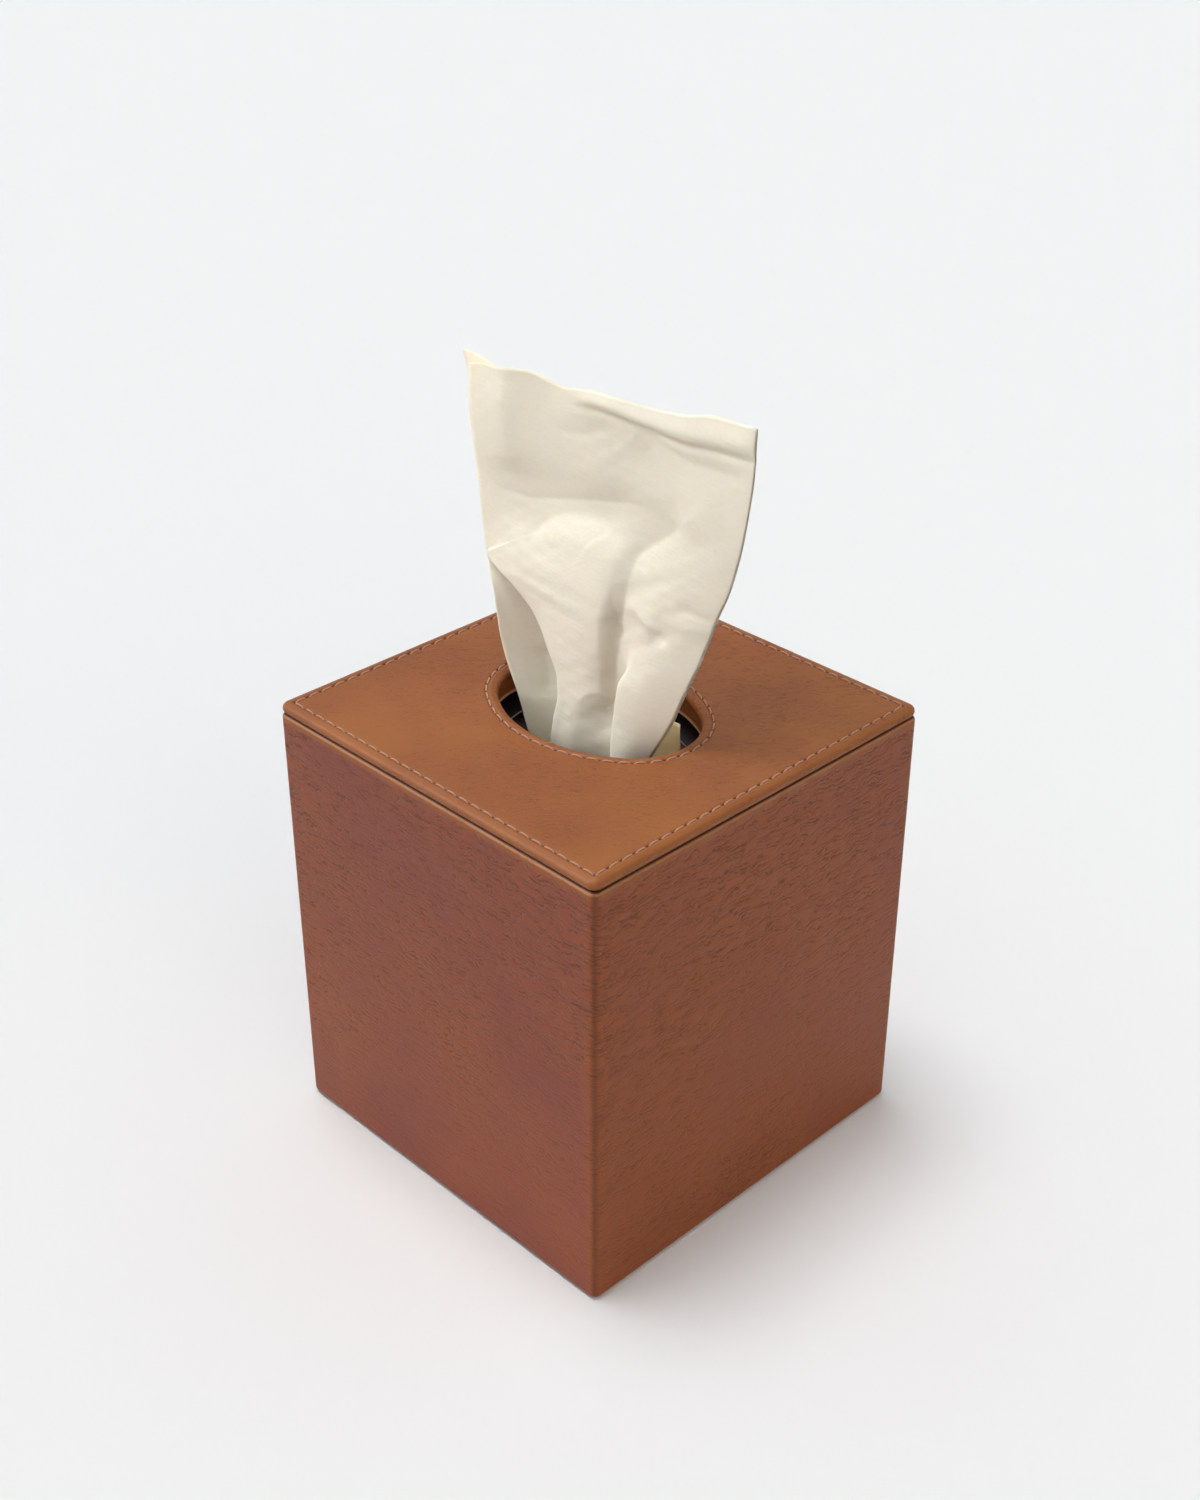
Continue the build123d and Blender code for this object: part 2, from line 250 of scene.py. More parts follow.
def smooth_copy(
    node_name, piece_name, material, body, slot, weld=2e-6, sharp=math.radians(35)
):
    """A copy of a CAD node with its triangles joined, so that its round edges shade smoothly."""
    mesh = bpy.data.meshes.new(piece_name)
    work = bmesh.new()
    work.from_mesh(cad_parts[node_name].data)
    bmesh.ops.remove_doubles(work, verts=work.verts, dist=weld)
    for face in work.faces:
        face.smooth = True
    for edge in work.edges:
        edge.smooth = len(edge.link_faces) == 2 and edge.calc_face_angle(0) < sharp
    work.to_mesh(mesh)
    work.free()
    mesh.materials.clear()
    mesh.materials.append(material)
    made = in_scene(piece_name, mesh)
    made.modifiers.new("flat faces stay flat", "WEIGHTED_NORMAL").keep_sharp = True
    own(made, body, slot, node_name)


def smooth_curve(knots, values, at):
    """Values at the places `at`, on a smooth curve through values given at rising knots."""
    knots, values, at = (np.asarray(a, float) for a in (knots, values, at))
    flat = values.reshape(len(knots), -1)
    steps = np.diff(knots)[:, None]
    slopes = np.diff(flat, axis=0) / steps
    tangents = np.vstack([slopes[:1], slopes, slopes[-1:]])
    before, after = np.vstack([steps[:1], steps]), np.vstack([steps, steps[-1:]])
    tangents = (tangents[:-1] * after + tangents[1:] * before) / (before + after)
    span = np.clip(np.searchsorted(knots, at, side="right") - 1, 0, len(knots) - 2)
    width = steps[span]
    t = ((at - knots[span]) / width[:, 0])[:, None]
    made = (
        (2 * t**3 - 3 * t**2 + 1) * flat[span]
        + (t**3 - 2 * t**2 + t) * width * tangents[span]
        + (3 * t**2 - 2 * t**3) * flat[span + 1]
        + (t**3 - t**2) * width * tangents[span + 1]
    )
    return made.reshape(len(at), *values.shape[1:])


def geometry_tree(name, **sockets):
    """An empty tree of geometry nodes with named inputs, its node adder and those inputs."""
    tree = bpy.data.node_groups.new(name, "GeometryNodeTree")
    tree.interface.new_socket("Geometry", in_out="OUTPUT", socket_type="NodeSocketGeometry")
    for kind, titles in sockets.items():
        for title in titles:
            tree.interface.new_socket(title, in_out="INPUT", socket_type="NodeSocket" + kind)
    return tree, partial(add_node, tree), tree.nodes.new("NodeGroupInput").outputs


def grown(name, stock, tree, inputs):
    """Runs a tree on a stock object, which the result replaces as one plain mesh."""
    modifier = stock.modifiers.new(tree.name, "NODES")
    modifier.node_group = tree
    for item in tree.interface.items_tree:
        if item.in_out == "INPUT" and item.name in inputs:
            modifier[item.identifier] = inputs[item.name]
    bpy.context.view_layer.update()
    graph = bpy.context.evaluated_depsgraph_get()
    mesh = bpy.data.meshes.new_from_object(stock.evaluated_get(graph), depsgraph=graph)
    bpy.data.objects.remove(stock)
    mesh.name = name
    mesh.shade_smooth()
    return in_scene(name, mesh)


# ================================================================ materials
def new_material(name, space, finish, settings):
    """A material whose surface the finish makes from the piece's own coordinates."""
    made = bpy.data.materials.new(name)
    made.use_nodes = True
    made.node_tree.nodes.clear()
    add = partial(add_node, made.node_tree)
    place = add("ShaderNodeTexCoord").outputs[space]
    add("ShaderNodeOutputMaterial", {"Surface": finish(add, place, settings)})
    return made


def build_materials(scene):
    """Makes every finish once, by its name."""
    leather, paper, thread = scene.tissue_leather, scene.tissue_paper, scene.tissue_stitches
    for key, name, space, finish, settings in (
        ("case_hide", "milled_aniline_cowhide_case", "Object", case_hide, leather),
        ("lid_hide", "milled_aniline_cowhide_lid", "Object", lid_hide, leather),
        ("thread", "waxed_polyester_thread", "Object", waxed_thread, thread),
        ("fibreboard", "pressed_fibreboard", "Object", pressed_fibreboard, None),
        ("lining", "bonded_microfibre", "Object", microfibre, leather),
        ("board", "printed_paperboard", "Object", printed_board, paper),
        ("film", "blown_polythene_film", "Object", blown_film, paper),
        ("tissue", "creped_tissue_paper", "UV", creped_tissue, paper),
    ):
        FINISHES[key] = new_material(name, space, finish, settings)


def valley(add, noise, width):
    """Rounded valleys along the lines where a noise is at its middle value: 1 at their foot."""
    centred = add("ShaderNodeMath", {0: noise, 1: 0.5}, operation="SUBTRACT")
    away = add("ShaderNodeMath", {0: centred}, operation="ABSOLUTE")
    return add(
        "ShaderNodeMapRange", {"Value": away, "From Max": width, "To Min": 1.0, "To Max": 0.0},
        interpolation_type="SMOOTHSTEP")


def grain(add, place, lie, pitch, across, calm_direction, calm_start):
    """Milled grain: the skin's height, painted shade along its creases, and slow clouds of tone.

    Bands that noise breaks up give ripples side by side, and creases run where noise drawn
    out along the hide's lie crosses its middle value. Milling left them flatter in patches.
    """
    bent = place
    for feature, push in ((9 * MM, 2.6 * MM), (1.3 * MM, 0.5 * MM)):
        noise = add("ShaderNodeTexNoise", {"Vector": place, "Scale": 1 / feature, "Detail": 2.0})
        centred = add(
            "ShaderNodeVectorMath", {0: noise.outputs["Color"], 1: (0.5, 0.5, 0.5)},
            operation="SUBTRACT")
        bent = add(
            "ShaderNodeVectorMath", {0: centred, 1: (2 * push,) * 3, 2: bent},
            operation="MULTIPLY_ADD")
    laid = add(
        "ShaderNodeMapping", {"Vector": bent, "Rotation": (0, 0, lie), "Scale": pitch},
        vector_type="TEXTURE")
    folds, small_folds, patches = (
        add("ShaderNodeTexNoise", {"Vector": laid, "Scale": scale, "Detail": detail})
        for scale, detail in ((1.0, 1.0), (1.9, 1.0), (0.5, 3.0))
    )
    creases, small_creases = valley(add, folds, 0.10), valley(add, small_folds, 0.11)
    ripples = add(
        "ShaderNodeTexWave",
        {"Vector": laid, "Scale": 0.24, "Distortion": 8.5, "Detail": 2.0, "Detail Scale": 3.2},
        wave_type="BANDS", bands_direction=across, wave_profile="SIN").outputs["Fac"]
    rippled, borders, worked = (
        add("ShaderNodeMapRange",
            {"Value": value, "From Min": low, "From Max": high, "To Min": foot, "To Max": top},
            interpolation_type="SMOOTHSTEP")
        for value, low, high, foot, top in (
            (ripples, 0.1, 0.95, 1.0, 0.0), (ripples, 0.0, 0.3, 1.0, 0.0),
            (patches, 0.36, 0.58, 0.0, 1.0))
    )
    clouds = add(
        "ShaderNodeTexNoise", {"Vector": place, "Scale": 1 / (42 * MM), "Detail": 2.0})
    leaning = add("ShaderNodeVectorMath", {0: place, 1: calm_direction}, operation="DOT_PRODUCT")
    started = add(
        "ShaderNodeMath", {0: leaning.outputs["Value"], 1: calm_start}, operation="ADD")
    unsettled = add("ShaderNodeMath", {0: clouds, 1: started}, operation="ADD")
    calm = add(
        "ShaderNodeMapRange",
        {"Value": unsettled, "From Min": 0.4, "From Max": 0.75, "To Min": 0.3, "To Max": 1.0})
    depth = add("ShaderNodeMath", {0: worked, 1: calm}, operation="MULTIPLY")
    creased = add(
        "ShaderNodeMath", {0: small_creases, 1: 0.45, 2: creases}, operation="MULTIPLY_ADD")
    folded = add("ShaderNodeMath", {0: creased, 1: 0.3, 2: rippled}, operation="MULTIPLY_ADD")
    valleys = add("ShaderNodeMath", {0: folded, 1: depth}, operation="MULTIPLY")
    pores = add("ShaderNodeTexNoise", {"Vector": place, "Scale": 1 / (0.4 * MM), "Detail": 1.0})
    height = add("ShaderNodeMath", {0: pores, 1: 0.35, 2: valleys}, operation="MULTIPLY_ADD")
    # Painted shade along the ripples' valleys, where the grain's relief dips.
    dye = add("ShaderNodeMath", {0: borders, 1: depth}, operation="MULTIPLY")
    return height, dye, clouds


def hide_surface(add, colour, sunk, dye, crease_shade_share, crease_colour, relief, roughness):
    """The finished hide: painted shade in the creases, a waxed satin, and the grain's relief."""
    # Painted shade: the shade brown mixed in along the creases.
    gathered = add("ShaderNodeMath", {0: dye, 1: crease_shade_share}, operation="MULTIPLY")
    crease_shaded = add(
        "ShaderNodeMix", {"Factor": gathered, "A": colour, "B": crease_colour}, data_type="RGBA")
    bump = add(
        "ShaderNodeBump", {"Strength": 1.0, "Distance": relief, "Height": sunk}, invert=True)
    duller = add(
        "ShaderNodeMapRange", {"Value": dye, "To Min": roughness, "To Max": roughness + 0.2})
    return add("ShaderNodeBsdfPrincipled", {
        "Base Color": crease_shaded, "Roughness": duller, "IOR": 1.48, "Specular IOR Level": 0.4,
        "Normal": bump})


def case_hide(add, place, leather):
    """Aniline-dyed cowhide, milled: rows of short creases, satin, burnished ochre under the lid."""
    length, spacing = leather.crease_length, leather.crease_spacing
    sunk, dye, clouds = grain(
        add, place, 0.0, (length, length, spacing), "Z",
        calm_direction=(0.0, 1.2, 3.6), calm_start=-0.12)
    side = add("ShaderNodeSeparateXYZ", {"Vector": place}).outputs
    right_panel = add("ShaderNodeMapRange", {
        "Value": side["X"], "From Min": HALF_WIDTH - 4 * MM, "From Max": HALF_WIDTH - 0.5 * MM,
        "To Max": 0.22})
    faint = add("ShaderNodeMapRange", {"Value": clouds, "To Min": 0.22, "To Max": 0.78})
    drifted = add("ShaderNodeMath", {0: faint, 1: right_panel}, operation="ADD")
    tones = add("ShaderNodeMapRange", {"Value": drifted, "From Min": 0.42, "From Max": 0.74})
    band_foot = RIM - leather.band_height
    band = add(
        "ShaderNodeMapRange",
        {"Value": side["Z"], "From Min": band_foot - 1.2 * MM, "From Max": band_foot + 0.9 * MM},
        interpolation_type="SMOOTHSTEP")
    # The turned rim: a painted highlight along its rounded edge, and painted shade where it goes in
    # under the lid.
    rubbed, painted_gap_shade = (
        add("ShaderNodeMapRange",
            {"Value": side["Z"], "From Min": RIM - low * MM, "From Max": RIM - high * MM})
        for low, high in ((1.15, 0.75), (0.42, 0.2))
    )
    # The walls' upright edges: a narrow painted shade where one face turns into the next.
    in_x, in_y = (
        add("ShaderNodeMath", {0: side[axis]}, operation="ABSOLUTE") for axis in "XY")
    inner = add("ShaderNodeMath", {0: in_x, 1: in_y}, operation="MINIMUM")
    corner = add(
        "ShaderNodeMapRange",
        {"Value": inner, "From Min": HALF_WIDTH - 1.7 * MM, "From Max": HALF_WIDTH - 0.7 * MM,
         "To Max": 0.5},
        interpolation_type="SMOOTHSTEP")
    colour = leather.case_brown
    for share, tone in (
        (tones, leather.case_ochre), (band, leather.rim_ochre), (rubbed, leather.rim_highlight_paint),
        # Painted shade: the dark gap under the lid, and the dark strip along the walls' upright
        # edges.
        (painted_gap_shade, leather.painted_shade_brown), (corner, leather.painted_shade_brown),
    ):
        colour = add("ShaderNodeMix", {"Factor": share, "A": colour, "B": tone}, data_type="RGBA")
    pressed = add("ShaderNodeMapRange", {"Value": band, "To Min": 1.0, "To Max": 0.3})
    # The pressed band has shallower creases and less painted crease shade.
    sunk_less, crease_shade_less = (
        add("ShaderNodeMath", {0: depth, 1: pressed}, operation="MULTIPLY")
        for depth in (sunk, dye))
    return hide_surface(
        add, colour, sunk_less, crease_shade_less, 0.6, leather.painted_shade_brown, leather.case_relief, 0.46)


def lid_hide(add, place, leather):
    """The same cowhide on the lid: finer creases, tan, and smoother where it is stretched."""
    length, spacing = 0.75 * leather.crease_length, 0.75 * leather.crease_spacing
    sunk, dye, clouds = grain(
        add, place, math.radians(45), (length, spacing, spacing), "Y",
        calm_direction=(0.0, 2.6, 0.0), calm_start=0.12)
    tones = add("ShaderNodeMapRange", {"Value": clouds, "From Min": 0.38, "From Max": 0.66})
    pulled = add("ShaderNodeAttribute", attribute_name="stitch_pull").outputs["Fac"]
    # Painted shade where the hide is drawn down deepest into the needle holes.
    painted_hole_shade = add("ShaderNodeMapRange", {"Value": pulled, "From Max": 0.55})
    colour = leather.lid_tan
    for share, tone in ((tones, leather.lid_brown), (painted_hole_shade, leather.painted_hole_shade_brown)):
        colour = add("ShaderNodeMix", {"Factor": share, "A": colour, "B": tone}, data_type="RGBA")
    return hide_surface(
        add, colour, sunk, dye, 0.34, leather.painted_shade_brown, leather.lid_relief, 0.48)


def waxed_thread(add, place, thread):
    """Waxed polyester thread, twisted from two plies: pale, with a slight gloss."""
    fibres = add(
        "ShaderNodeTexNoise", {"Vector": place, "Scale": 1 / (0.35 * MM), "Detail": 2.0})
    soiled = add("ShaderNodeMapRange", {"Value": fibres, "To Min": 0.0, "To Max": 0.55})
    colour = add(
        "ShaderNodeMix", {"Factor": soiled, "A": thread.thread_tan, "B": "#7C4C3A"},
        data_type="RGBA")
    return add("ShaderNodeBsdfPrincipled", {
        "Base Color": colour, "Roughness": 0.42, "IOR": 1.55, "Sheen Weight": 0.2})


def pressed_fibreboard(add, place, _):
    """Medium-density fibreboard, pressed and sawn: even brown with short pale fibres."""
    fibres = add("ShaderNodeTexNoise", {"Vector": place, "Scale": 1 / (0.8 * MM), "Detail": 4.0})
    colour = add(
        "ShaderNodeMix", {"Factor": fibres, "A": "#7C5B3A", "B": "#B08D62"}, data_type="RGBA")
    bump = add("ShaderNodeBump", {"Strength": 0.5, "Distance": 0.05 * MM, "Height": fibres})
    return add(
        "ShaderNodeBsdfPrincipled", {"Base Color": colour, "Roughness": 0.85, "Normal": bump})


def cut_edge(add, near):
    """1 on upright faces where near is 1, which is where a die went through the sheet."""
    normal = add("ShaderNodeNewGeometry").outputs["Normal"]
    rise = add("ShaderNodeSeparateXYZ", {"Vector": normal}).outputs["Z"]
    upright = add("ShaderNodeMath", {0: rise, 1: 0.0, 2: 0.5}, operation="COMPARE")
    return add("ShaderNodeMath", {0: upright, 1: near}, operation="MULTIPLY")


def microfibre(add, place, leather):
    """Microfibre bonded to a tan backing and die-cut: a near-black nap with pale cut edges."""
    nap = add("ShaderNodeTexNoise", {"Vector": place, "Scale": 1 / (0.5 * MM), "Detail": 3.0})
    dark = add("ShaderNodeMix", {"Factor": nap, "A": "#140C0E", "B": "#33262A"}, data_type="RGBA")
    height = add("ShaderNodeSeparateXYZ", {"Vector": place}).outputs["Z"]
    on_lid = add("ShaderNodeMath", {0: height, 1: CARTON_TOP}, operation="GREATER_THAN")
    colour = add(
        "ShaderNodeMix",
        {"Factor": cut_edge(add, on_lid), "A": dark, "B": leather.edge_tan},
        data_type="RGBA")
    bump = add("ShaderNodeBump", {"Strength": 0.6, "Distance": 0.06 * MM, "Height": nap})
    return add("ShaderNodeBsdfPrincipled", {
        "Base Color": colour, "Roughness": 0.9, "Normal": bump, "Sheen Weight": 0.35,
        "Sheen Roughness": 0.4})


def printed_board(add, place, paper):
    """Coated paperboard, printed dark and die-cut: a dull sheen, with its pale core at the cut."""
    mottle = add("ShaderNodeTexNoise", {"Vector": place, "Scale": 1 / (2.5 * MM), "Detail": 3.0})
    printed = add(
        "ShaderNodeMix", {"Factor": mottle, "A": paper.board_dark, "B": "#2E2229"},
        data_type="RGBA")
    around = add("ShaderNodeVectorMath", {0: place, 1: (1, 1, 0)}, operation="MULTIPLY")
    reach = add("ShaderNodeVectorMath", {0: around}, operation="LENGTH").outputs["Value"]
    near = add("ShaderNodeMath", {0: reach, 1: 40 * MM}, operation="LESS_THAN")
    colour = add(
        "ShaderNodeMix",
        {"Factor": cut_edge(add, near), "A": printed, "B": paper.board_core},
        data_type="RGBA")
    return add(
        "ShaderNodeBsdfPrincipled", {"Base Color": colour, "Roughness": 0.5, "IOR": 1.5})


def blown_film(add, place, paper):
    """Blown polythene film: thin, clear and slack, so that it shows only by its glints."""
    ripple = add("ShaderNodeTexNoise", {"Vector": place, "Scale": 1 / (5 * MM), "Detail": 1.5})
    bump = add("ShaderNodeBump", {"Strength": 0.5, "Distance": 0.5 * MM, "Height": ripple})
    return add("ShaderNodeBsdfPrincipled", {
        "Base Color": paper.film_tint, "Roughness": 0.14, "IOR": 1.51, "Alpha": 0.24,
        "Normal": bump})


def creped_tissue(add, cloth, paper):
    """Soft tissue paper, creped off a drying roll: fine lines across it, matt and translucent."""
    crepe, fibres = (
        add("ShaderNodeTexNoise", {
            "Vector": add("ShaderNodeMapping", {
                "Vector": cloth, "Scale": (1 / (length * MM), 1 / (spacing * MM), 1.0)}),
            "Scale": 1.0, "Detail": detail, "Roughness": rough})
        for length, spacing, detail, rough in ((6.0, 0.55, 3.0, 0.6), (1.6, 0.9, 4.0, 0.5))
    )
    both = add("ShaderNodeMath", {0: crepe, 1: 0.75, 2: fibres}, operation="MULTIPLY_ADD")
    bump = add("ShaderNodeBump", {"Strength": 0.55, "Distance": 0.09 * MM, "Height": both})
    thin = add("ShaderNodeMapRange", {"Value": both, "From Min": 0.6, "From Max": 1.2})
    colour = add(
        "ShaderNodeMix", {"Factor": thin, "A": paper.tissue_thin, "B": paper.tissue_cream},
        data_type="RGBA")
    surface = add("ShaderNodeBsdfPrincipled", {
        "Base Color": colour, "Roughness": 0.95, "Normal": bump, "Specular IOR Level": 0.15,
        "Sheen Weight": 0.1, "Subsurface Weight": 0.3, "Subsurface Radius": (1.0, 0.8, 0.5),
        "Subsurface Scale": 0.6 * MM})
    # The light that comes through the leaf is warm, so the shaded folds are khaki.
    shining = add("ShaderNodeBsdfTranslucent", {"Color": paper.tissue_glow, "Normal": bump})
    return add("ShaderNodeMixShader", {0: 0.3, 1: surface, 2: shining})


def background_paper(add, _, stage):
    """Matt paper that looks pale to the camera, and bounces less than it looks."""
    rays = add("ShaderNodeLightPath").outputs
    seen = add(
        "ShaderNodeMath", {0: rays["Is Camera Ray"], 1: rays["Is Glossy Ray"]},
        operation="MAXIMUM")
    colour = add(
        "ShaderNodeMix", {"Factor": seen, "A": stage.bounce_grey, "B": stage.floor_grey},
        data_type="RGBA")
    return add("ShaderNodeBsdfDiffuse", {"Color": colour})


# ================================================================ the lid's outlines
def oval_loop(reach, count):
    """Points spaced evenly round the lid's oval grown by reach, and its length.

    The oval is four tangent arcs, so the grown one keeps their centres. The first point is
    on +X, and they run anticlockwise.
    """
    end_centre = HOLE_LONG - HOLE_END_RADIUS
    spare = HOLE_SHORT - HOLE_END_RADIUS
    side_centre = (end_centre**2 - spare**2) / (2 * spare)
    end_turn = math.atan2(side_centre, end_centre)
    end_radius = HOLE_END_RADIUS + reach
    side_radius = spare + side_centre + end_radius
    quarter_end = end_radius * end_turn
    quarter = quarter_end + side_radius * (math.pi / 2 - end_turn)
    points = []
    for step in range(count):
        along = 4 * quarter * step / count
        which = int(along // quarter) % 4
        rest = along - which * quarter
        if which % 2:
            rest = quarter - rest
        if rest < quarter_end:
            angle = rest / end_radius
            centre, radius = (end_centre, 0.0), end_radius
        else:
            angle = end_turn + (rest - quarter_end) / side_radius
            centre, radius = (0.0, -side_centre), side_radius
        x, y = centre[0] + radius * math.cos(angle), centre[1] + radius * math.sin(angle)
        points.append((-x if which in (1, 2) else x, -y if which in (2, 3) else y))
    return np.array(points), 4 * quarter


def square_loop(inset, count, corner=3.0 * MM, least=0.3 * MM):
    """Points round the lid's outer edge drawn in by inset, one for each of the same columns."""
    half = HALF_WIDTH - inset
    radius = max(corner - inset, least)
    outer_straight = HALF_WIDTH - corner
    eighth = outer_straight + corner * math.pi / 4
    points = []
    for step in range(count):
        along = 8 * eighth * step / count
        which = int(along // (2 * eighth)) % 4
        rest = along - which * 2 * eighth
        mirrored = rest > eighth
        if mirrored:
            rest = 2 * eighth - rest
        if rest < outer_straight:
            x, y = half, rest / outer_straight * (half - radius)
        else:
            angle = (rest - outer_straight) / corner
            x, y = (half - radius + radius * turn(angle) for turn in (math.cos, math.sin))
        if mirrored:
            x, y = y, x
        points.append(((x, y), (-y, x), (-x, -y), (y, -x))[which])
    return np.array(points)


def edge_holes(stitches):
    """How many stitches lie along one side of the lid, and the side's length."""
    side = 2 * (HALF_WIDTH - stitches.edge_inset)
    return round(side / stitches.edge_pitch), side


# ================================================================ operators
class TISSUE_OT_carried_nodes(bpy.types.Operator):
    """Finishes the boards, linings and carton, whose shapes the frame already has"""

    bl_idname = "tissue_box.carried_nodes"
    bl_label = "Boards, linings and carton"

    def execute(self, context):
        places = ("front", "back", "left", "right", "base")
        boards, linings = ([f"{place}_{kind}" for place in places] for kind in ("board", "lining"))
        dress([*boards, "lid_board", "locating_board"], FINISHES["fibreboard"])
        dress([*linings, "underside_sheet", "lid_lining"], FINISHES["lining"])
        dress(["tissue_carton"], FINISHES["board"])
        return {"FINISHED"}


class TISSUE_OT_case_hide(bpy.types.Operator):
    """Wraps the case and the locating plate in their hide"""

    bl_idname = "tissue_box.case_hide"
    bl_label = "Case hide"

    def execute(self, context):
        smooth_copy("case_leather", "case_hide", FINISHES["case_hide"], "case", "case_leather")
        smooth_copy("locating_leather", "locating_hide", FINISHES["lid_hide"], "lid", "lid_leather")
        return {"FINISHED"}


class TISSUE_OT_lid_hide(bpy.types.Operator):
    """Stretches the lid's hide over its board, drawn down along both rows of stitches"""

    bl_idname = "tissue_box.lid_hide"
    bl_label = "Lid hide"

    def execute(self, context):
        stitches = context.scene.tissue_stitches
        columns, turn_steps, field_steps = 832, 8, 6
        bull = (LID_TOP - RIM) / 2  # the radius of the hide's turn round the board's edge
        hole_reach = 0.62 * MM  # how far along its row a needle hole draws the hide down
        bead, reach = stitches.bead_height, stitches.groove_reach

        def square(inset):
            return square_loop(inset, columns)

        def oval(outset):
            return oval_loop(outset, columns)[0]

        def near_hole(places, length, holes):
            """How near each column is to a needle hole, from its place counted in holes."""
            off = np.abs(places - np.round(places)) * length / holes
            return np.exp(-((off / hole_reach) ** 2))

        def border(loop, inset, near, under, beads, outer_rise, flats, swell):
            """Rows from the hide turned under, round the edge and over the stitches, inwards.

            Each is a loop, its height, and how deep in a needle hole it lies, from 0 to 1.
            """
            for back in under:
                yield loop(back * MM), RIM, 0.0
            for step in range(turn_steps + 1):
                angle = math.pi * (step / turn_steps - 0.5)
                height = RIM + bull + bull * math.sin(angle)
                yield loop(bull - bull * math.cos(angle)), height, 0.0
            for share in beads:
                rise = bead * math.sin(math.pi * (0.25 + 0.6 * share))
                yield loop(bull + (inset - reach - bull) * share), LID_TOP + rise, 0.0
            for share in (-1.0, -0.66, -0.33, 0.0, 0.33, 0.66, 1.0):
                across = 0.5 + 0.5 * math.cos(math.pi * abs(share))
                depth = stitches.groove_depth * across * (BETWEEN_HOLES + AT_HOLE * near)
                rise = bead * outer_rise if share < 0 else 0.0
                yield loop(inset + share * reach), LID_TOP - depth + rise, near * across**3
            for inward in flats:
                yield loop(inward * MM), LID_TOP + swell, 0.0

        side_holes, side = edge_holes(stitches)
        line = square(stitches.edge_inset)
        on_x_side = np.abs(np.abs(line[:, 0]) - side / 2) < 1e-6
        along_side = np.where(on_x_side, line[:, 1], line[:, 0]) + side / 2
        near = near_hole(along_side / (side / side_holes), side, side_holes)
        outer = list(border(
            square, stitches.edge_inset, near, (12.0, 8.0, 4.0, 2.4), (0.3, 0.6, 0.85),
            0.4, (5.0, 6.4, 8.4, 11.0), 0.02 * MM))

        _, length = oval_loop(stitches.hole_inset, columns)
        oval_holes = round(length / stitches.hole_pitch)
        near = near_hole(np.arange(columns) / columns * oval_holes, length, oval_holes)
        inner = list(border(
            oval, stitches.hole_inset, near, (8.0, 5.0, 2.4), (0.2, 0.5, 0.8),
            0.0, (4.8, 5.6, 7.2, 9.0), 0.0))

        # Between the two borders the field goes from a square loop to an oval one.
        field = []
        for step in range(1, field_steps):
            share = step / field_steps
            field.append((outer[-1][0] * (1 - share) + inner[-1][0] * share, LID_TOP, 0.0))
        laid = [*outer, *field, *reversed(inner)]
        points = [np.column_stack([loop, np.full(columns, height)]) for loop, height, _ in laid]
        piece = mesh_object(
            "lid_hide", np.vstack(points), grid_faces(len(laid), columns, closed=True),
            FINISHES["lid_hide"])
        pull = piece.data.attributes.new("stitch_pull", "FLOAT", "POINT")
        depths = np.concatenate([np.full(columns, depth) for _, _, depth in laid])
        pull.data.foreach_set("value", depths.astype(np.float32))
        thicken(piece, context.scene.tissue_leather.leather_thickness, -1.0)
        own(piece, "lid", "lid_leather", "lid_leather")
        return {"FINISHED"}


